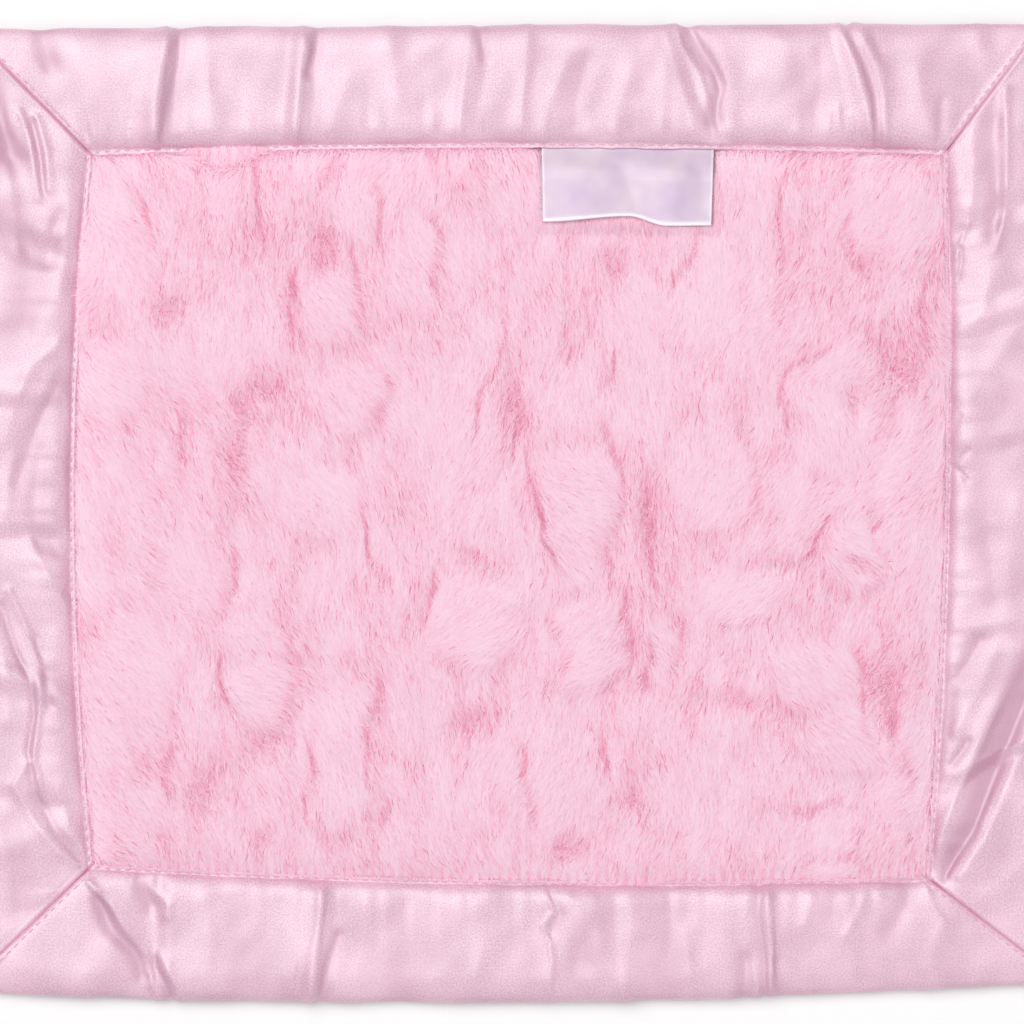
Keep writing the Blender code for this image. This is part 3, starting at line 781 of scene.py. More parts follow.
def face_corners(mesh):
    """The vertex at each face corner."""
    found = np.empty(len(mesh.loops), int)
    mesh.loops.foreach_get("vertex_index", found)
    return found


def closed_sheet(mesh, level):
    """Gives a sheet its underside at that level, and closes its rim."""

    def close(bm):
        lifted = bmesh.ops.extrude_face_region(bm, geom=bm.faces[:])["geom"]
        upper = {item for item in lifted if isinstance(item, bmesh.types.BMVert)}
        for vert in bm.verts:
            if vert not in upper:
                vert.co.z = level
        bmesh.ops.recalc_face_normals(bm, faces=bm.faces[:])
        if bm.calc_volume(signed=True) < 0:
            bmesh.ops.reverse_faces(bm, faces=bm.faces[:])

    reshaped(mesh, close)
    mesh.shade_smooth()


def repeated_mesh(name, build, count):
    """A small shape repeated that many times in one mesh, and the shape's own points."""
    mesh = mesh_of(name + "_shape", build)
    source = linked(name + "_shape", mesh)
    array = source.modifiers.new("repeat", "ARRAY")
    array.count = count
    array.use_relative_offset = False
    graph = bpy.context.evaluated_depsgraph_get()
    repeated = bpy.data.meshes.new_from_object(source.evaluated_get(graph))
    repeated.name = name
    bpy.data.objects.remove(source)
    shape = points_of(mesh)
    bpy.data.meshes.remove(mesh)
    return repeated, shape


def added(name, mesh, material, body, slot, *nodes):
    """Links a finished mesh to the scene, on its body and in place of its CAD nodes."""
    obj = linked(name, mesh)
    mesh.materials.append(material)
    if body:
        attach(obj, body)
    if nodes:
        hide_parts(*nodes)
    return obj


class Finish:
    """A new material with its nodes at hand."""

    def __init__(self, name, roughness, specular):
        self.material = bpy.data.materials.new(name)
        self.material.use_nodes = True
        self.nodes = self.material.node_tree.nodes
        self.links = self.material.node_tree.links
        self.shader = self.nodes["Principled BSDF"]
        self.set(self.shader, {"Roughness": roughness, "Specular IOR Level": specular})

    def set(self, node, values):
        """Sets sockets of a node by their names or numbers."""
        for socket, value in values.items():
            node.inputs[socket].default_value = value

    def add(self, kind, values=None, **settings):
        """A new node with its settings and socket values."""
        node = self.nodes.new(kind)
        for setting, value in settings.items():
            setattr(node, setting, value)
        self.set(node, values or {})
        return node

    def link(self, output, socket):
        """Joins an output to an input."""
        self.links.new(output, socket)

    def joined(self, node, outputs, found=0):
        """An output of a node, after others are joined to its sockets by name or number."""
        for socket, output in outputs.items():
            self.link(output, node.inputs[socket])
        return node.outputs[found]

    def sheen(self, weight, roughness, tint):
        """The soft light that a pile or a fine weave gives back at its edges."""
        values = {"Sheen Weight": weight, "Sheen Roughness": roughness, "Sheen Tint": (*tint, 1)}
        self.set(self.shader, values)

    def place(self):
        """The place on the piece."""
        return self.add("ShaderNodeTexCoord").outputs["Object"]

    def cloth_map(self, name="cloth"):
        """The piece's own map."""
        return self.add("ShaderNodeUVMap", uv_map=name).outputs["UV"]

    def map_axes(self, name):
        """The two axes of a map of the piece."""
        parts = self.add("ShaderNodeSeparateXYZ")
        self.link(self.cloth_map(name), parts.inputs["Vector"])
        return parts.outputs["X"], parts.outputs["Y"]

    def noise(self, vector, scale, detail=2.0):
        """Noise over the piece."""
        node = self.add("ShaderNodeTexNoise", {"Scale": scale, "Detail": detail})
        return self.joined(node, {"Vector": vector}, "Fac")

    def weave(self, vector, pitch, direction):
        """Threads that run one way, that far apart."""
        scale = 1 / (20 * pitch) * math.tau
        node = self.add(
            "ShaderNodeTexWave",
            {"Scale": scale, "Distortion": 1.5, "Detail": 1, "Detail Scale": 3},
            bands_direction=direction,
        )
        return self.joined(node, {"Vector": vector}, "Fac")

    def blend(self, first, second, share):
        """A mix of two factors."""
        node = self.add("ShaderNodeMix", {0: share}, data_type="FLOAT")
        return self.joined(node, {2: first, 3: second})

    def ramp(self, factor, low, high, start=0.3, end=0.7):
        """A colour between two, by a factor."""
        node = self.add("ShaderNodeValToRGB")
        for element, place, colour in zip(node.color_ramp.elements, (start, end), (low, high)):
            element.position = place
            element.color = (*colour, 1)
        return self.joined(node, {"Fac": factor}, "Color")

    def marked(self, factor, plain, colour):
        """A colour with another laid over it by a factor."""
        node = self.add("ShaderNodeMix", {7: (*colour, 1)}, data_type="RGBA")
        return self.joined(node, {0: factor, 6: plain}, 2)

    def colour(self, output):
        """Gives the shader its colour."""
        self.link(output, self.shader.inputs["Base Color"])

    def relief(self, factor, strength, distance):
        """Fine relief under the light."""
        bump = self.add("ShaderNodeBump", {"Strength": strength, "Distance": distance})
        self.link(self.joined(bump, {"Height": factor}, "Normal"), self.shader.inputs["Normal"])


def satin_finish(colours):
    """Satin: a silky weave whose fine grain sparkles in the light."""
    finish = Finish("satin", 0.5, 0.5)
    finish.set(finish.shader, {"Coat Weight": 1.0, "Coat Roughness": 0.52, "Coat IOR": 2.6})
    finish.sheen(0.05, 0.4, (1, 0.85, 0.93))
    cloth = finish.cloth_map()
    shade = finish.blend(finish.noise(cloth, 45, 2), finish.noise(cloth, 1600, 1), 0.6)
    weave = finish.ramp(shade, colours.satin_shade, colours.satin, 0.40, 0.60)
    # The map sewn carries painted shade: along the mitres, and down in the sunken folds.
    mitred, folded = finish.map_axes("sewn")
    tone = finish.marked(folded, weave, colours.satin_fold_shade)
    finish.colour(finish.marked(mitred, tone, colours.satin_mitre_shade))
    finish.relief(finish.noise(cloth, 2200, 1), 0.5, 0.0003)
    return finish.material


def binding_section(side, share):
    """The satin's outer face at shares of the seam, from its front hem round to its back hem.

    Each row has its distances across, its heights, how much of the folds it shows, and
    whether the stitching pulls it.
    """
    hem_line = BINDING_WIDTH - HEM_DEPTH
    rise_line = BINDING_WIDTH - STITCH_INSET - HEM_ROUNDING
    lift_line = hem_line - BACK_LIFT_RUN
    hem = hem_top(side, share)
    crown = crown_height(side, share)
    rows = [(BINDING_WIDTH - inset, hem - drop, 0, 0) for inset, drop in HEM_LIP]
    for across in np.linspace(BINDING_WIDTH - HEM_ROUNDING, rise_line, 7):
        rows.append((across, hem, (BINDING_WIDTH - across) / HEM_DEPTH * 0.5, 1))
    for step in np.linspace(1, 0, 44)[1:]:
        step = step**0.7
        fullness = math.cos(math.pi / 2 * step**SLOPE_FULLNESS)
        shown = 0.5 + 0.5 * float(ease((1 - step) * 5))
        rows.append((mix(FRONT_FOLD_RUN, rise_line, step), mix(hem, crown, fullness), shown, 1))
    for turn in np.linspace(math.pi / 2, 0, 15)[1:]:
        across = FRONT_FOLD_RUN * (1 - math.cos(turn))
        shown = 0.55 + 0.45 * math.sin(turn)
        rows.append((across, mix(FOLD_HEIGHT, crown, math.sin(turn)), shown, 0))
    for turn in np.linspace(0, math.pi / 2, 8)[1:]:
        across = BACK_FOLD_RUN * (1 - math.cos(turn))
        rows.append((across, FOLD_HEIGHT * (1 - math.sin(turn)), 0.55 * math.cos(turn) ** 2, 0))
    for across in np.linspace(BACK_FOLD_RUN, lift_line, 10)[1:]:
        rows.append((across, 0, 0, 0))
    for step in np.linspace(0, 1, 4)[1:]:
        rows.append((mix(lift_line, hem_line, step), BACK_LEG_BOTTOM * step, 0, 0))
    rows.append((BINDING_WIDTH, BACK_LEG_BOTTOM, 0, 0))
    rows.append((BINDING_WIDTH - 0.0003, BACK_LEG_BOTTOM + 0.0004, 0, 0))
    return [np.array([0 * share + row[i] for row in rows]) for i in range(4)]


def sheet_normals(places):
    """The normals of a strip of satin, upward on its front face."""
    normals = np.cross(np.gradient(places, axis=1), np.gradient(places, axis=0))
    normals /= np.maximum(np.linalg.norm(normals, axis=-1, keepdims=True), 1e-12)
    return normals * np.sign(normals[FRONT_ROW, places.shape[1] // 2, 2])


def seam_steps(side):
    """Shares along a seam, closer together at the mitres."""
    half = side_half(side, inner_corner)
    end = 2 * half - FINE_RUN
    fine = np.linspace(0, FINE_RUN, 21)
    middle = np.linspace(FINE_RUN, end, int((2 * half - 2 * FINE_RUN) / SEAM_STEP))
    steps = np.concatenate((fine, middle[1:-1], 2 * half - fine[::-1]))
    return steps / half - 1


def side_axes(side):
    """The axes of the plane that run along a side and across it."""
    return (0, 1) if side in ("top", "bottom") else (1, 0)


def binding_surface(side, share, pitch):
    """The finished satin at shares along the seam: its places, hem to hem, its normals, and the
    painted shade along its mitres and down in its sunken folds."""
    across, up, shown, sewn = binding_section(side, share)
    stations = np.broadcast_to(share, across.shape)
    half = side_half(side, inner_corner)
    wobble = 0.00030 * drift(stations * half, across * 0, 0.0045, 14)
    wobble = wobble * ease((1 - np.abs(stations)) * half / MITRE_FADE_RUN)
    across = across + wobble * np.exp(-np.abs(BINDING_WIDTH - across) / 0.0012)
    plane = binding_point(side, stations, across)
    lengthwise, crosswise = (plane[..., axis] for axis in side_axes(side))
    places = raised_to(plane, up)
    normals = sheet_normals(places)
    from_mitre = mitre_distance(side, plane)
    clear = ease(from_mitre / MITRE_FADE_RUN)
    # The sinking folds also give how much painted shade is laid down in them.
    relief, shade = fold_relief(FOLDS[side], plane[..., 0], plane[..., 1])
    shade = shade * shown * clear
    relief += 0.0008 * drift(lengthwise + 0.5 * crosswise, crosswise * 0.8, 0.021, 11)
    relief += 0.00028 * drift(lengthwise - 0.4 * crosswise, crosswise * 0.7, 0.0080, 12)
    to_seam = np.maximum(BINDING_WIDTH - across, 0)
    pucker = drift(lengthwise, crosswise * 0.15, 0.0034, 13)
    relief += 0.0006 * pucker * np.exp(-to_seam / 0.010)
    relief *= shown * clear
    welt = 0.0002 * bell(from_mitre - 0.0013, 0.0006)
    groove = 0.0003 * bell(from_mitre, 0.0004)
    relief += (shown > 0) * (welt - groove)
    hole = 0.5 + 0.5 * np.cos(stations * half / pitch * math.tau)
    relief -= sewn * (0.00012 + 0.00018 * hole) * bell(to_seam - STITCH_INSET, 0.0006)
    places = places + normals * relief[..., None]
    places[..., 2] = np.maximum(places[..., 2], 0)
    # Painted shade along each mitre, a ragged dark line laid in the map beside the fold shade.
    ragged = 0.75 + 0.25 * drift(plane[..., 0], plane[..., 1], 0.0018, 15)
    mitred = bell(from_mitre, 0.0006) * ragged
    return places, sheet_normals(places), np.stack((mitred, 0.8 * shade), -1)


def add_binding(side, material, pitch):
    """One side's satin strip, folded round the edge and sewn to its neighbours at the mitres."""
    share = seam_steps(side)
    places, _, sewn = binding_surface(side, share, pitch)
    outer, inner = side_half(side, outer_corner), side_half(side, inner_corner)
    middle = places[:, len(share) // 2]
    crosswise = runs(np.linalg.norm(np.diff(middle, axis=0), axis=-1))
    lengthwise = places[..., side_axes(side)[0]]
    cloth = np.stack((lengthwise, np.broadcast_to(crosswise[:, None], lengthwise.shape)), -1)
    # The map sewn holds the painted shade of the mitres and of the sunken folds.
    mesh = sheet_mesh("satin_binding_" + side, places, cloth=cloth, sewn=sewn)
    face = mesh.polygons[FRONT_ROW * (len(share) - 1) + len(share) // 2]
    if face.normal.z < 0:
        mesh.flip_normals()
    mesh.shade_smooth()
    obj = added(mesh.name, mesh, material, "blanket", "satin", "binding_" + side)


FIELD_STEP = 0.0005
FIELD_LOW = (-0.178, -0.150)
FIELD_HIGH = (0.178, 0.150)
# Lumps, partings and spots change the grid as far as this beyond them
FIELD_REACH = 0.008


def field_window(warped, low, high):
    """The part of the pile's grid that a box of the plane takes in."""
    ends = []
    for start, stop, first, count in zip(low, high, FIELD_LOW, warped[0].shape[::-1]):
        begin = max(int((start - first) / FIELD_STEP), 0)
        ends.append(slice(begin, min(int((stop - first) / FIELD_STEP) + 2, count)))
    return ends[1], ends[0]


def field_round(warped, place, spread):
    """The part of the pile's grid round a place that has a half width and a half height,
    and its points' distances from the place's middle as shares of those halves."""
    middle, half = place_of(place[:2]), np.array(place[2:]) * PX
    low, high = middle - spread * half - FIELD_REACH, middle + spread * half + FIELD_REACH
    window = field_window(warped, low, high)
    return window, *((warped[i][window] - middle[i]) / half[i] for i in (0, 1))


def raise_lumps(warped, height, turn, pale):
    """Raises the pile's lumps, each combed its own way, with painted light on their domes and
    painted shade round their rims.
    """
    for *place, comb, rise in LUMPS:
        window, u, v = field_round(warped, place, 1)
        away = np.hypot(u, v)
        inside = ease((1.25 - away) / 0.60)
        dome = np.sqrt(np.clip(1 - (away / 1.12) ** 2, 0, 1))
        before = height[window]
        raised = np.maximum(before, 0.7 * rise / 1000 * dome + 0.5 * before)
        height[window] = mix(before, raised, inside)
        fan = np.exp(1j * np.radians(comb + 20 * v))
        turn[window] = mix(turn[window], fan, 0.75 * inside)
        # Painted light on the domes, and painted shade in a ring round the rims.
        paler = 0.05 * dome + 0.5 * (0.85 - pale[window])
        pale[window] += inside * paler - 0.08 * bell(away - 1.15, 0.12)


def part_pile(warped, height, stand, pale):
    """Parts the pile along its lines, with painted shade in the partings."""
    for depth, line in PARTINGS:
        line = place_of(line)
        window = field_window(warped, line.min(0) - FIELD_REACH, line.max(0) + FIELD_REACH)
        distance, _, share = line_distance(warped[0][window], warped[1][window], line)
        ends = ease(share * 6) * ease((1 - share) * 6)
        gap = bell(distance, 0.0007) * (0.35 + 0.65 * ends)
        rim = np.exp(-distance / 0.0026)
        height[window] -= depth / 1000 * (gap + 0.35 * rim)
        stand[window] -= 0.45 * gap
        # Painted shade down in the parting.
        pale[window] -= 0.80 * gap + 0.05 * rim


def thin_pile(warped, height, stand, pale):
    """Thins the pile at its spots, with painted shade in them."""
    for spot in SPOTS:
        window, u, v = field_round(warped, spot, 2)
        thin = bell(np.hypot(u, v), 1.1)
        height[window] -= 0.0013 * thin
        stand[window] -= 0.45 * thin
        # Painted shade in the thin spot.
        pale[window] -= 0.38 * thin


def seam_nicks(across, up, pitch):
    """Where the seam's stitches pull the pile in, from 0 to 1."""
    beside = beside_seam(across, up)
    along = np.where(beside, up * PANEL_HALF_DEPTH, across * PANEL_HALF_WIDTH)
    nick = bell(panel_edge(across, up), 0.0028)
    nick = nick * (0.5 + 0.5 * np.cos(along / pitch * math.tau)) ** 5
    return nick * np.where(beside, 0.3, np.where(up > 0, 0.6, 1))


def pile_fields(pitch):
    """The pile over a grid of the plane: how its surface lies, how its strands are combed, how
    long they stand and how pale they are, a tone that differs at random with painted light and
    shade laid on it."""
    axes = [np.arange(low, high, FIELD_STEP) for low, high in zip(FIELD_LOW, FIELD_HIGH)]
    x, y = np.meshgrid(*axes)
    warped = [
        plain + 0.0036 * drift(x, y, 0.014, seed) + 0.0014 * drift(x, y, 0.005, seed + 1)
        for plain, seed in ((x, 21), (y, 23))
    ]
    height = 0.0006 * drift(x, y, 0.02, 25) + 0.0005 * drift(x, y * 0.6, 0.009, 26)
    angle = -90 - 30 * np.clip(x / PANEL_HALF_WIDTH, -1, 1)
    angle = angle + 24 * drift(x, y, 0.034, 27) + 16 * drift(x, y, 0.011, 28)
    turn = np.exp(1j * np.radians(angle))
    stand = 1 + 0.15 * drift(x, y, 0.012, 29)
    # Paleness: tone that differs at random, to which the lumps, partings, spots and nicks add
    # painted light and shade.
    pale = 0.74 + 0.08 * drift(x, y, 0.03, 30) + 0.12 * drift(x, y * 0.5, 0.008, 31)
    pale += 0.12 * drift(x, y * 0.3, 0.0020, 32)
    raise_lumps(warped, height, turn, pale)
    part_pile(warped, height, stand, pale)
    thin_pile(warped, height, stand, pale)
    across, up = panel_shares(x, y)
    nick = seam_nicks(across, up, pitch)
    # The stitches sink the pile in nicks, with painted shade in them.
    height -= 0.0008 * nick
    pale -= 0.7 * nick
    skin, depth = pile_skin(across, up, height)
    slope_y, slope_x = np.gradient(skin, FIELD_STEP)
    turn /= np.maximum(np.abs(turn), 1e-9)
    stand = np.clip(stand, 0.35, 1.4)
    return np.stack((skin, depth, turn.real, turn.imag, stand, pale, slope_x, slope_y), -1)


def label_press(across, up):
    """How high the pile may stand under the label, how much it presses there, and whether
    a place lies under it."""
    from_top = (1 - up) * PANEL_HALF_DEPTH
    slack = (LABEL_SIDE_CLEARANCE - 0.0004) / PANEL_HALF_WIDTH
    climb = np.clip((from_top - FUR_SHOULDER_RUN) / (FUR_CROWN_RUN - FUR_SHOULDER_RUN), 0, 1)
    pressed = mix(FUR_TONGUE_TOP, LABEL_PRESS_HEIGHT, ease(climb)) - 0.0001
    below = np.maximum(from_top - LABEL_DROP - LABEL_SIDE_CLEARANCE, 0)
    cover = label_cover(across, PILE_RISE_RUN, slack) * (1 - ease(below / PILE_RISE_RUN))
    under = (across > LABEL_PATCH[0] + slack) & (across < LABEL_PATCH[1] - slack)
    under &= from_top < LABEL_DROP + LABEL_SIDE_CLEARANCE
    return pressed, cover, under


def pile_skin(across, up, lumps):
    """The height of the pile's surface, and how deep its strands stand under it."""
    edge = panel_edge(across, up)
    rise = np.clip(edge / FUR_CROWN_RUN, 0, 1)
    crowned = np.sin(math.pi / 2 * rise) ** PILE_SHOULDER_FULLNESS
    free = mix(FRONT_LEG_TOP + 0.0003, FUR_HEIGHT + 0.0006 + lumps, crowned)
    pressed, cover, _ = label_press(across, up)
    depth = mix(0.0004, 0.0012, ease(edge / 0.010)) * (1 - 0.7 * cover)
    return mix(free, pressed, cover), depth


def field_at(fields, x, y):
    """The pile's values at places in the plane, between the points of its grid."""
    u = (x - FIELD_LOW[0]) / FIELD_STEP
    v = (y - FIELD_LOW[1]) / FIELD_STEP
    i = np.clip(np.floor(u).astype(int), 0, fields.shape[1] - 2)
    j = np.clip(np.floor(v).astype(int), 0, fields.shape[0] - 2)
    f, g = np.clip(u - i, 0, 1)[..., None], np.clip(v - j, 0, 1)[..., None]
    low = mix(fields[j, i], fields[j, i + 1], f)
    high = mix(fields[j + 1, i], fields[j + 1, i + 1], f)
    return np.moveaxis(mix(low, high, g), -1, 0)


def fur_base_finish(colours):
    """The dense foot of the pile, in painted shade, stippled where the strands rise from it."""
    finish = Finish("fur_base", 0.95, 0.15)
    stipple = finish.noise(finish.place(), 1500, 2)
    finish.colour(finish.ramp(stipple, colours.fur_deep, colours.fur_root, 0.35, 0.65))
    finish.relief(stipple, 0.6, 0.0006)
    return finish.material


def fur_strand_finish(colours):
    """Strands, pale at the tip, with painted shade towards the root. A strand's map runs from its
    root to its tip one way, and from the deepest to the palest strand the other, a tone that
    differs at random with painted light and shade laid on it."""
    finish = Finish("fur_strands", 0.6, 0.25)
    finish.sheen(0.25, 0.5, (1, 0.86, 0.93))
    tone, risen = finish.map_axes("strand")
    deep = finish.ramp(risen, colours.fur_deep, colours.fur_middle, 0, 1)
    pale = finish.ramp(risen, colours.fur_root, colours.fur_tip, 0, 1)
    node = finish.add("ShaderNodeMix", data_type="RGBA")
    finish.colour(finish.joined(node, {0: tone, 6: deep, 7: pale}, 2))
    return finish.material


def panel_grid(columns, rows):
    """The shares of a grid over a panel and its tongues."""
    shares = []
    for half, count in ((PANEL_HALF_WIDTH, columns), (PANEL_HALF_DEPTH, rows)):
        end = 1 + TONGUE_DEPTH / half
        shares.append(np.linspace(-end, end, count))
    return np.meshgrid(*shares)


def add_fur_base(material, fields):
    """The plush's backing and the foot of its pile, as one closed sheet with its lumps."""
    across, up = panel_grid(201, 171)
    plane = panel_point(across, up)
    skin, depth = field_at(fields, plane[..., 0], plane[..., 1])[:2]
    top = np.where(panel_edge(across, up) > 0, skin - depth, FUR_TONGUE_TOP)
    mesh = sheet_mesh("fur_base", raised_to(plane, top))
    closed_sheet(mesh, FUR_TONGUE_BOTTOM)
    return added("fur_base", mesh, material, "blanket", "front_fur", "fur_panel")


def strand_shape(bm):
    """A strand: a blade of one face that ends in a point."""
    bmesh.ops.create_grid(bm, x_segments=1, y_segments=2, size=1)
    tips = [vert for vert in bm.verts if vert.co.y > 0.5]
    bmesh.ops.pointmerge(bm, verts=tips, merge_co=(0, 1, 0))


def overhang(x, y):
    """How much the pile spills over the seam, from 0 to 1, at places in the plane."""
    spill = np.zeros(x.shape)
    for middle, reach in OVERHANGS:
        away = place_of(middle)
        spill = np.maximum(spill, bell(np.hypot(x - away[0], y - away[1]), reach * PX))
    return spill


def add_fur_patch(name, roots, material, fields, sizes, rng):
    """A patch of strands, rooted at places in the plane and combed over the lumps."""
    count = len(roots)
    mesh, shape = repeated_mesh(name, strand_shape, count)
    x, y = roots.T
    _, _, comb_x, comb_y, stand, pale, _, _ = field_at(fields, x, y)
    across, up = panel_shares(x, y)
    root_edge = panel_edge(across, up)
    aside = beside_seam(across, up)
    spill = overhang(x, y)
    lean = np.minimum(0.35 * np.exp(-root_edge / 0.003) + 0.55 * spill, 0.95)
    way_x = comb_x * (1 - lean) + np.where(aside, np.sign(across), 0) * lean
    way_y = comb_y * (1 - lean) + np.where(aside, 0, np.sign(up)) * lean
    loose = 0.18 + 1.6 * np.clip(0.85 - stand, 0, 0.4)
    angle = np.arctan2(way_y, way_x) + rng.normal(0, 1, count) * loose
    length = sizes.strand_length * stand * np.clip(rng.normal(1, 0.18, count), 0.5, 1.5)
    width = sizes.strand_width * np.clip(rng.normal(1, 0.2, count), 0.5, 1.5)
    reach_x, reach_y = x + np.cos(angle) * length, y + np.sin(angle) * length
    tip_edge = panel_edge(*panel_shares(reach_x, reach_y))
    over = rng.uniform(-0.0003, 0.0008, count) + 0.0022 * spill + 0.0006 * drift(x, y, 0.005, 35)
    length *= np.clip((root_edge + over) / np.maximum(root_edge - tip_edge, 1e-6), 0.12, 1)
    roll = rng.normal(0, 0.2, count)
    stray = rng.uniform(0, 1, count) < STRAY_CHANCE
    tips = np.where(stray, rng.uniform(1.0, 1.35, count), rng.uniform(0.72, 1.02, count))
    shade_fleck = rng.uniform(0, 1, count) < SHADE_FLECK_CHANCE * np.maximum(0.80 - pale, 0)
    tips = np.where(shade_fleck, 1.10, tips)
    length = np.where(shade_fleck, 0.60 * length, length)
    width = np.where(shade_fleck, 0.85 * width, width)
    lifts = (0.9 * shade_fleck, np.where(shade_fleck, 1.06, rng.uniform(0.86, 1.0, count)), tips)
    bend = rng.normal(0, 0.12, count)
    stray_lift = rng.uniform(0, 0.0008, count)
    shade_streak = rng.uniform(0, 1, count) < SHADE_STREAK_CHANCE * np.maximum(0.95 - pale, 0)
    # A strand's own tone differs at random; painted shade darkens those lying deeper, the streaks
    # and the flecks.
    own = rng.normal(0, 1, count) * (0.04 + 0.40 * np.clip(0.9 - pale, 0, 1))
    own += 0.45 * (tips - 0.87) - 0.5 * shade_streak - rng.uniform(0.3, 1, count) * shade_fleck
    places = np.empty((count, len(shape), 3))
    tones = np.empty((count, len(shape)))
    for i, (side, along, _) in enumerate(shape):
        reach = (along + 1) / 2
        turn = angle + bend * reach
        point_x = x + np.cos(turn) * length * reach
        point_y = y + np.sin(turn) * length * reach
        skin, depth, _, _, _, pale, _, _ = field_at(fields, point_x, point_y)
        # Each point takes the pile's paleness there, with its painted light and shade.
        tones[:, i] = np.clip(pale + own, 0.02, 0.98)
        z = skin - depth * (1 - lifts[round(2 * reach)])
        offset = side * width / 2
        point_x += np.sin(angle) * offset * np.cos(roll)
        point_y -= np.cos(angle) * offset * np.cos(roll)
        z += offset * np.sin(roll)
        share = panel_shares(point_x, point_y)
        pressed, _, under = label_press(*share)
        z = np.where(under, np.minimum(z, pressed - stray_lift), z)
        over = FRONT_LEG_TOP + 0.0008 + stray_lift
        z = np.where((panel_edge(*share) < 0.0004) & ~under, np.maximum(z, over), z)
        places[:, i] = np.stack((point_x, point_y, z), -1)
    corners = face_corners(mesh)
    strand, point = corners // len(shape), corners % len(shape)
    # The root-to-tip axis puts painted shade at the roots; strands by the seam lose most of it,
    # and flecks keep it along their length.
    risen = mix((shape[point, 1] + 1) / 2, 1, 0.8 * np.exp(-root_edge[strand] / 0.004))
    risen *= 1 - 0.75 * shade_fleck[strand]
    maps = np.stack((tones[strand, point] + 0.004 * shape[point, 0], risen), -1)
    mesh.vertices.foreach_set("co", places.ravel())
    mesh.uv_layers.new(name="strand").uv.foreach_set("vector", maps.ravel())
    mesh.update()
    mesh.shade_smooth()
    slope = np.stack(field_at(fields, places[:, 1, 0], places[:, 1, 1])[6:], -1)
    turned = rng.normal(0, 0.10, (2, count)).T
    slope *= 0.6 / np.maximum(np.hypot(*slope.T) / 0.35, 1)[:, None]
    leaned = turned - slope + 0.1 * np.stack((way_x, way_y), -1)
    normals = unit(raised_to(leaned, np.ones(count)))
    mesh.normals_split_custom_set_from_vertices(np.repeat(normals, len(shape), axis=0))
    patch = added(name, mesh, material, "blanket", "front_fur")
    # The strands cast no shadows; painted shade in their colour stands in for it.
    patch.visible_shadow = False
    return patch


def add_fur_pile(material, fields, sizes, count):
    """The pile: strands rooted evenly over the panel, in four patches."""
    rng = np.random.default_rng(PILE_SEED)
    aspect = PANEL_HALF_WIDTH / PANEL_HALF_DEPTH
    rows = int(math.sqrt(count / aspect))
    columns = int(rows * aspect)
    cells = np.meshgrid(np.arange(columns), np.arange(rows))
    shares = []
    for cell, across, half in zip(cells, (columns, rows), (PANEL_HALF_WIDTH, PANEL_HALF_DEPTH)):
        share = (cell.ravel() + rng.uniform(0, 1, cell.size)) / across * 2 - 1
        shares.append(share * (1 - ROOT_MARGIN / half))
    across, up = shares
    roots = panel_point(across, up)
    patches = {
        "top_left": (across < 0) & (up >= 0),
        "top_right": (across >= 0) & (up >= 0),
        "bottom_left": (across < 0) & (up < 0),
        "bottom_right": (across >= 0) & (up < 0),
    }
    return [
        add_fur_patch("fur_pile_" + name, roots[chosen], material, fields, sizes, rng)
        for name, chosen in patches.items()
    ]


def plush_finish(colours):
    """Short smooth plush, with a fine nap."""
    finish = Finish("back_plush", 0.9, 0.2)
    finish.sheen(0.4, 0.5, (1, 0.85, 0.92))
    nap = finish.noise(finish.place(), 900, 3)
    finish.colour(finish.ramp(nap, colours.plush_shade, colours.plush))
    finish.relief(nap, 0.5, 0.0005)
    return finish.material


def add_back_panel(material):
    """The short plush back, flat on the floor, with its edges sewn in between the bindings."""
    across, up = panel_grid(121, 103)
    inside = ease((panel_edge(across, up) - 0.0005) / 0.0035)
    bottom = BACK_TONGUE_BOTTOM * (1 - inside)
    mesh = sheet_mesh("plush_back", raised_to(panel_point(across, up), bottom))
    closed_sheet(mesh, BACK_TONGUE_TOP)
    obj = added("plush_back", mesh, material, "blanket", "back_plush", "back_panel")


def ribbon_finish(colours):
    """Woven satin ribbon, with fine threads across it and a painted highlight along its fold and
    rims.
    """
    finish = Finish("label_ribbon", 0.38, 0.6)
    finish.set(finish.shader, {"Metallic": 0.15})
    cloth = finish.cloth_map()
    warp = finish.weave(cloth, 0.00028, "X")
    threads = finish.blend(warp, finish.weave(cloth, 0.00022, "Y"), 0.5)
    broad = finish.noise(cloth, 60, 2)
    tone = finish.ramp(finish.blend(broad, threads, 0.30), colours.ribbon_shade, colours.ribbon)
    # Painted highlight along the label's lower fold and its rims, from the map edge.
    finish.colour(finish.marked(finish.map_axes("edge")[0], tone, colours.ribbon_highlight))
    finish.relief(threads, 0.12, 0.0002)
    return finish.material


def label_frame():
    """Where the label's hinge lies in the plane, the way along it and the way in from it."""
    half = LABEL_WIDTH / 2
    ends = []
    for place in (LABEL_CENTRE_OFFSET - half, LABEL_CENTRE_OFFSET + half):
        share = top_share(place)
        ends.append(line_point("top", share, share, BINDING_WIDTH))
    way = (ends[1] - ends[0]) / np.linalg.norm(ends[1] - ends[0])
    inward = np.array((way[1], -way[0]))
    return (ends[0] + ends[1]) / 2 + inward * LABEL_HINGE_RUN, way, inward


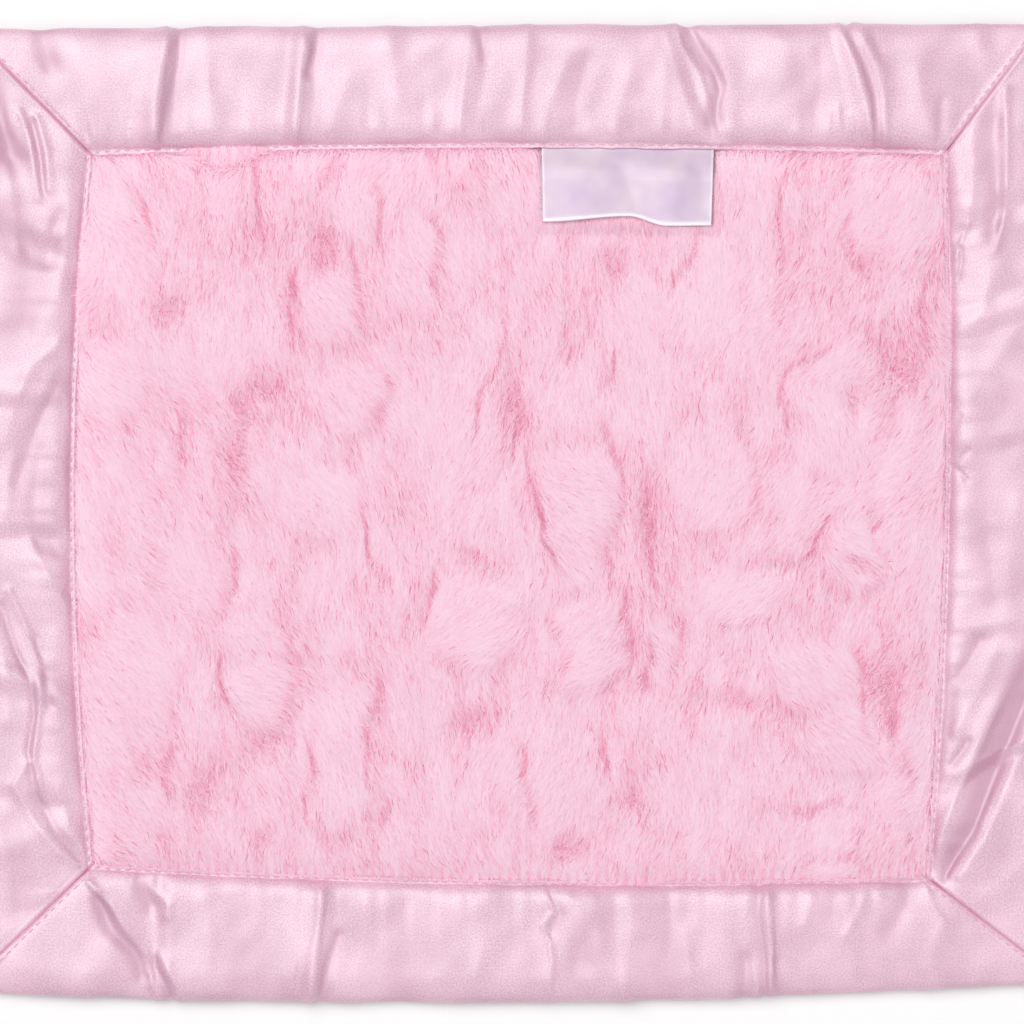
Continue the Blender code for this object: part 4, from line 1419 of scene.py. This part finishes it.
def label_path():
    """The loop's outer face in the label's own frame, from its tab round its fold and back:
    how far out and how high each row lies."""
    crown = FUR_CROWN_RUN - LABEL_HINGE_RUN
    radius = LABEL_FOLD_THICKNESS / 2
    fold = LABEL_DROP - LABEL_HINGE_RUN - radius
    rest = LABEL_PRESS_HEIGHT + CLOTH_GAP - LABEL_TAB_MIDDLE
    low = -LABEL_TAB_THICKNESS / 2
    edge = -LABEL_HINGE_RUN
    tab = edge - LABEL_TAB_DEPTH

    def height(out, top):
        level = mix(low, rest, 1 - (1 - np.clip((out - edge) / (crown - edge), 0, 1)) ** 1.5)
        thickness = mix(LABEL_TAB_THICKNESS, LABEL_FOLD_THICKNESS, np.clip(out / fold, 0, 1))
        return level + thickness * top

    front = np.concatenate((np.linspace(tab, 0, 10)[:-1], np.linspace(0, fold, 110)))
    back = np.concatenate((np.linspace(fold, 0, 50), np.linspace(0, tab, 10)[1:]))
    turns = np.linspace(math.pi / 2, -math.pi / 2, 13)[1:-1]
    round_fold = rest + radius + radius * np.sin(turns)
    out = np.concatenate((front, fold + radius * np.cos(turns), back))
    return out, np.concatenate((height(front, 1), round_fold, height(back, 0)))


def add_label(material):
    """The loop label: a ribbon folded at its lower edge, whose ends are sewn into the seam."""
    out, up = label_path()
    half = LABEL_WIDTH / 2
    rim = np.array(LABEL_RIM_STEPS)
    across = np.concatenate((rim - half, np.linspace(-half, half, 72)[2:-2], half - rim[::-1]))
    way_along = runs(np.hypot(np.diff(out), np.diff(up)))
    across_grid, out_grid = np.meshgrid(across, out)
    up_grid, along_grid = (np.meshgrid(across, values)[1] for values in (up, way_along))
    start = FUR_CROWN_RUN - LABEL_HINGE_RUN
    free = ease((out_grid - start) / (LABEL_DROP - start))
    wave = 0 * across_grid
    for (first, low), (last, high) in zip(LABEL_WAVE, LABEL_WAVE[1:]):
        wave += (high - low) / 1000 * ease((across_grid / half - first) / (last - first))
    out_grid += (LABEL_WAVE[0][1] / 1000 + wave) * free
    hinge, way, inward = label_frame()
    local_x = across_grid * (1 - 0.02 * np.clip(out_grid / LABEL_DROP, 0, 1))
    to_rim = half - np.abs(across_grid)
    picot = 0.5 + 0.5 * np.cos(along_grid / PICOT_PITCH * math.tau)
    local_x += np.sign(across_grid) * 0.00035 * picot * np.clip(1 - to_rim / 0.0006, 0, 1)
    plane = hinge + local_x[..., None] * way + out_grid[..., None] * inward
    relief, _ = fold_relief(LABEL_FOLDS, plane[..., 0], plane[..., 1])
    up_grid += relief * ease(out_grid / 0.006)
    # Painted highlight along the lower fold and the rims.
    turned = way_along[int(np.argmax(out))]
    folded = bell(along_grid - turned + 0.0008, 0.0009)
    edge_highlight = np.maximum(folded, 0.7 * bell(to_rim, 0.0005))
    mesh = sheet_mesh(
        "loop_label",
        raised_to(plane, LABEL_TAB_MIDDLE + up_grid),
        cloth=np.stack((across_grid, along_grid), -1),
        edge=np.stack((edge_highlight, 0 * edge_highlight), -1),
    )

    def thicken(bm):
        bm.faces.ensure_lookup_table()
        if bm.faces[0].normal.z < 0:
            bmesh.ops.reverse_faces(bm, faces=bm.faces[:])
        bmesh.ops.solidify(bm, geom=bm.faces[:], thickness=LABEL_RIBBON_THICKNESS)

    reshaped(mesh, thicken)
    mesh.shade_smooth()
    obj = added("loop_label", mesh, material, None, "label_ribbon", "label_tab", "label_flap")
    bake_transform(obj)


def thread_finish(colours):
    """Spun sewing thread, with the twist of its plies."""
    finish = Finish("thread", 0.5, 0.4)
    twist = finish.noise(finish.place(), 3500, 1)
    finish.colour(finish.ramp(twist, colours.thread_shade, colours.thread))
    finish.relief(twist, 0.3, 0.0001)
    return finish.material


def stitch_shape(bm):
    """A stitch: a rounded length of thread."""
    bmesh.ops.create_uvsphere(bm, u_segments=8, v_segments=6, radius=1)
    bmesh.ops.rotate(bm, verts=bm.verts[:], matrix=Matrix.Rotation(math.pi / 2, 3, "Y"))


def stitch_fullness(ahead):
    """How much fuller a stitch is than a ball, at a share of the way from its middle."""
    if abs(ahead) >= 0.99:
        return 0
    return math.sqrt(max(1 - ahead**6, 0)) / math.sqrt(max(1 - ahead * ahead, 1e-4))


def add_stitches(name, line, normals, material, sizes, *nodes):
    """A row of stitches along a line of places on a cloth, each sunk in at its two holes."""
    run = runs(np.linalg.norm(np.diff(line, axis=0), axis=1))
    count = max(int(run[-1] / sizes.stitch_pitch), 1)
    middles = (np.arange(count) + 0.5) * run[-1] / count
    mesh, shape = repeated_mesh(name, stitch_shape, count)
    half = sizes.stitch_length / 2
    radius = sizes.stitch_width / 2
    places = np.empty((count, len(shape), 3))

    def at(distance, values):
        return np.stack([np.interp(distance, run, values[:, i]) for i in range(3)], -1)

    along = unit(at(middles + half, line) - at(middles - half, line))
    up = at(middles, normals)
    up = unit(up - along * (up * along).sum(-1, keepdims=True))
    aside = np.cross(up, along)
    middle = at(middles, line)
    for i, (ahead, side, lift) in enumerate(shape):
        full = stitch_fullness(ahead)
        rise = radius * (0.35 - 1.3 * ahead * ahead) + radius * lift * full
        places[:, i] = middle + along * half * ahead + aside * radius * side * full + up * rise
    mesh.vertices.foreach_set("co", places.ravel())
    mesh.update()
    mesh.shade_smooth()
    added(name, mesh, material, "blanket", "thread", *nodes)


def add_seam_stitches(side, material, sizes):
    """The seam's stitches along a side: on the front hem, and under the back one."""
    share = seam_steps(side)
    share = share[(1 - np.abs(share)) * side_half(side, inner_corner) > THREAD_CORNER_GAP]
    stitched = BINDING_WIDTH - STITCH_INSET
    across = binding_section(side, share)[0]
    places, normals, _ = binding_surface(side, share, sizes.stitch_pitch)
    row = int(np.argmin(np.abs(across[:SEAM_ROW_COUNT, 0] - stitched)))
    name, node = "seam_stitches_" + side, "needle_thread_" + side
    add_stitches(name, places[row], normals[row], material, sizes, node)
    plane = binding_point(side, share, stitched + 0 * share)
    line = raised_to(plane, np.full(len(share), FLOOR_CLEARANCE + THREAD_DIAMETER))
    down = np.broadcast_to((0.0, 0.0, -1.0), line.shape)
    name, node = "back_stitches_" + side, "bobbin_thread_" + side
    add_stitches(name, line, down, material, sizes, node)


def add_mitre_stitches(side, end, material, sizes):
    """The edge stitches beside a mitre, from the hem line out to the fold."""
    share = seam_steps(side)
    share = share[share * end > 0.7][::-end]
    places, normals, _ = binding_surface(side, share, sizes.stitch_pitch)

    def beside(row, values):
        away = mitre_distance(side, places[row, :, :2])
        return [np.interp(MITRE_STITCH_OFFSET, away, values[row, :, i]) for i in range(3)]

    line, up = (
        np.array([beside(row, values) for row in MITRE_STITCH_ROWS])
        for values in (places, normals)
    )
    corner_name = SIDE_CORNERS[side][(end + 1) // 2]
    name, node = "mitre_stitches_" + corner_name, "mitre_thread_" + corner_name
    add_stitches(name, line, up, material, sizes, node)


def add_lamp(name, size, power, place):
    """A soft square lamp that looks at the blanket."""
    lamp = bpy.data.lights.new(name, "AREA")
    lamp.shape = "SQUARE"
    lamp.size = size
    lamp.energy = power
    obj = linked(name, lamp)
    obj.location = place
    obj.rotation_euler = Vector(place).to_track_quat("Z", "Y").to_euler()


def table_finish():
    """The table's white, a little brighter where the camera sees it."""
    finish = Finish("table", 1, 0)
    finish.set(finish.shader, {"Base Color": TABLE_COLOUR})
    rays = finish.add("ShaderNodeLightPath").outputs
    seen = rays["Is Camera Ray"]
    for ray in ("Is Glossy Ray", "Is Transmission Ray"):
        either = finish.add("ShaderNodeMath", operation="MAXIMUM")
        seen = finish.joined(either, {0: seen, 1: rays[ray]})
    level = finish.add("ShaderNodeMath", {1: TABLE_GLOW}, operation="MULTIPLY")
    strength = finish.joined(level, {0: seen})
    glow = finish.joined(finish.add("ShaderNodeEmission"), {"Strength": strength})
    both = finish.add("ShaderNodeAddShader")
    surface = finish.joined(both, {0: finish.shader.outputs[0], 1: glow})
    finish.link(surface, finish.nodes["Material Output"].inputs["Surface"])
    return finish.material


def add_table():
    """The white table, which keeps the blanket's shadow."""

    def sheet(bm):
        bmesh.ops.create_grid(bm, x_segments=1, y_segments=1, size=TABLE_SIZE)
        bmesh.ops.translate(bm, verts=bm.verts[:], vec=(0, 0, TABLE_LEVEL))

    mesh = mesh_of("table", sheet)
    table = linked("table", mesh)
    mesh.materials.append(table_finish())


def add_room(level):
    """Even white light from all round."""
    world = bpy.data.worlds.new("room")
    bpy.context.scene.world = world
    world.use_nodes = True
    background = world.node_tree.nodes["Background"]
    background.inputs["Color"].default_value = (1, 1, 1, 1)
    background.inputs["Strength"].default_value = level


def add_camera():
    """The camera straight over the blanket, with the photograph's frame."""
    camera = bpy.data.cameras.new("camera")
    camera.sensor_width = SENSOR_WIDTH
    camera.lens = camera.sensor_width * CAMERA_HEIGHT / (PHOTO_SIZE * PX)
    obj = linked("camera", camera)
    middle = place_of((PHOTO_SIZE / 2, PHOTO_SIZE / 2))
    obj.location = (*middle, CAMERA_HEIGHT + CROWN_HEIGHT)
    bpy.context.scene.camera = obj


LAMPS = (
    ("lamp_left", 2.4, 63.5, (-1.00, 0.95, 2.60)),
    ("lamp_right", 0.8, 4.0, (1.20, -0.20, 1.10)),
    ("lamp_front", 1.2, 5, (0.10, -1.50, 1.60)),
)


def colour_of(name, description, value):
    """A colour that a user may change."""
    return FloatVectorProperty(
        name=name, description=description, subtype="COLOR", size=3, min=0, max=1, default=value
    )


def length_of(name, description, value):
    """A length that a user may change."""
    return FloatProperty(
        name=name, description=description, unit="LENGTH", min=0, default=value, precision=5
    )


class LoveySizes(bpy.types.PropertyGroup):
    """Sizes of the pile and the stitches, which can be changed before a piece is made."""

    strand_length: length_of("Pile length", "Length of the fur's strands", 0.0064)
    strand_width: length_of("Strand width", "Width of a strand at its root", 0.00030)
    strand_count: IntProperty(
        name="Strands", description="Number of strands in the pile", min=1000, default=240000
    )
    stitch_pitch: length_of("Stitch pitch", "Distance from one stitch to the next", 0.0037)
    stitch_length: length_of("Stitch length", "Length of thread that shows in a stitch", 0.0026)
    stitch_width: length_of("Thread width", "Thickness of the sewing thread", 0.00045)


class LoveyColours(bpy.types.PropertyGroup):
    """Colours of the cloths, pile and thread."""

    satin: colour_of("Satin", "Lit threads of the satin", (0.87, 0.53, 0.665))
    satin_shade: colour_of(
        "Satin shade", "Threads of the satin that lie deeper", (0.62, 0.32, 0.45)
    )
    # Painted shade down in the satin's sunken folds.
    satin_fold_shade: colour_of("Satin folds", "The satin down in its folds", (0.52, 0.19, 0.33))
    # Painted shade along the satin's mitres.
    satin_mitre_shade: colour_of("Satin seam", "The satin in the shade of its mitres", (0.72, 0.20, 0.36))
    # Fur colours: the pale tips are the fur's own colour, and the roots and the deepest strands
    # are darker as painted shade.
    fur_tip: colour_of("Fur tip", "Tips of the palest strands", (0.91, 0.73, 0.82))
    fur_middle: colour_of("Fur middle", "Tips of the deepest strands", (0.92, 0.465, 0.62))
    fur_root: colour_of("Fur root", "Roots of the palest strands", (0.88, 0.59, 0.72))
    fur_deep: colour_of("Fur depth", "Roots of the deepest strands", (0.70, 0.20, 0.34))
    plush: colour_of("Back plush", "The smooth back's colour", (0.94, 0.60, 0.74))
    plush_shade: colour_of(
        "Back plush shade", "The smooth back between its strands", (0.87, 0.43, 0.60)
    )
    ribbon: colour_of("Ribbon", "The label's colour", (0.79, 0.66, 0.72))
    ribbon_shade: colour_of("Ribbon shade", "The label's deeper threads", (0.56, 0.42, 0.61))
    # Painted highlight along the label's lower fold and rims.
    ribbon_highlight: colour_of("Ribbon edge", "The label along its fold and rims", (1.0, 0.96, 1.0))
    thread: colour_of("Thread", "The sewing thread's colour", (0.86, 0.52, 0.68))
    thread_shade: colour_of("Thread shade", "The thread between its plies", (0.72, 0.34, 0.50))


class LOVEY_OT_stage(bpy.types.Operator):
    """Sets the table, the light and the camera"""

    bl_idname = "lovey.stage"
    bl_label = "Stage"

    def execute(self, context):
        add_camera()
        add_table()
        add_room(ROOM_LEVEL)
        for lamp in LAMPS:
            add_lamp(*lamp)
        context.scene.view_settings.view_transform = "Standard"
        return {"FINISHED"}


class LOVEY_OT_bindings(bpy.types.Operator):
    """Makes the four mitred satin strips round the edge"""

    bl_idname = "lovey.bindings"
    bl_label = "Satin bindings"

    def execute(self, context):
        material = satin_finish(context.scene.lovey_colours)
        for side in SIDE_CORNERS:
            add_binding(side, material, context.scene.lovey_sizes.stitch_pitch)
        return {"FINISHED"}


class LOVEY_OT_back(bpy.types.Operator):
    """Makes the short plush back"""

    bl_idname = "lovey.back"
    bl_label = "Plush back"

    def execute(self, context):
        add_back_panel(plush_finish(context.scene.lovey_colours))
        return {"FINISHED"}


class LOVEY_OT_fur(bpy.types.Operator):
    """Makes the fur's backing and its pile"""

    bl_idname = "lovey.fur"
    bl_label = "Fur"

    def execute(self, context):
        colours, sizes = context.scene.lovey_colours, context.scene.lovey_sizes
        fields = pile_fields(sizes.stitch_pitch)
        base = add_fur_base(fur_base_finish(colours), fields)
        count = sizes.strand_count // 1
        patches = add_fur_pile(fur_strand_finish(colours), fields, sizes, count)
        return {"FINISHED"}


class LOVEY_OT_label(bpy.types.Operator):
    """Makes the loop label in the top seam"""

    bl_idname = "lovey.label"
    bl_label = "Loop label"

    def execute(self, context):
        add_label(ribbon_finish(context.scene.lovey_colours))
        return {"FINISHED"}


class LOVEY_OT_stitches(bpy.types.Operator):
    """Sews the seams and the mitres"""

    bl_idname = "lovey.stitches"
    bl_label = "Stitches"

    def execute(self, context):
        sizes = context.scene.lovey_sizes
        material = thread_finish(context.scene.lovey_colours)
        for side in SIDE_CORNERS:
            add_seam_stitches(side, material, sizes)
        for side in ("top", "bottom"):
            for end in (-1, 1):
                add_mitre_stitches(side, end, material, sizes)
        return {"FINISHED"}


PIECES = (
    LOVEY_OT_bindings,
    LOVEY_OT_back,
    LOVEY_OT_fur,
    LOVEY_OT_label,
    LOVEY_OT_stitches,
)


class LOVEY_PT_panel(bpy.types.Panel):
    """The blanket's sizes, colours and pieces"""

    bl_idname = "LOVEY_PT_panel"
    bl_label = "Comfort Blanket Lovey"
    bl_space_type = "VIEW_3D"
    bl_region_type = "UI"
    bl_category = "Lovey"

    def draw(self, context):
        for group in (context.scene.lovey_sizes, context.scene.lovey_colours):
            box = self.layout.box()
            for name in group.__annotations__:
                box.prop(group, name)
        for operator in (LOVEY_OT_stage, *PIECES):
            self.layout.operator(operator.bl_idname)


CLASSES = (LoveySizes, LoveyColours, LOVEY_OT_stage, *PIECES, LOVEY_PT_panel)


def register():
    for item in CLASSES:
        bpy.utils.register_class(item)
    bpy.types.Scene.lovey_sizes = PointerProperty(type=LoveySizes)
    bpy.types.Scene.lovey_colours = PointerProperty(type=LoveyColours)


def unregister():
    del bpy.types.Scene.lovey_colours
    del bpy.types.Scene.lovey_sizes
    for item in reversed(CLASSES):
        bpy.utils.unregister_class(item)


def main():
    register()
    bpy.ops.lovey.stage()
    bpy.ops.lovey.bindings()
    bpy.ops.lovey.back()
    bpy.ops.lovey.fur()
    bpy.ops.lovey.label()
    bpy.ops.lovey.stitches()


if __name__ == "__main__":
    main()
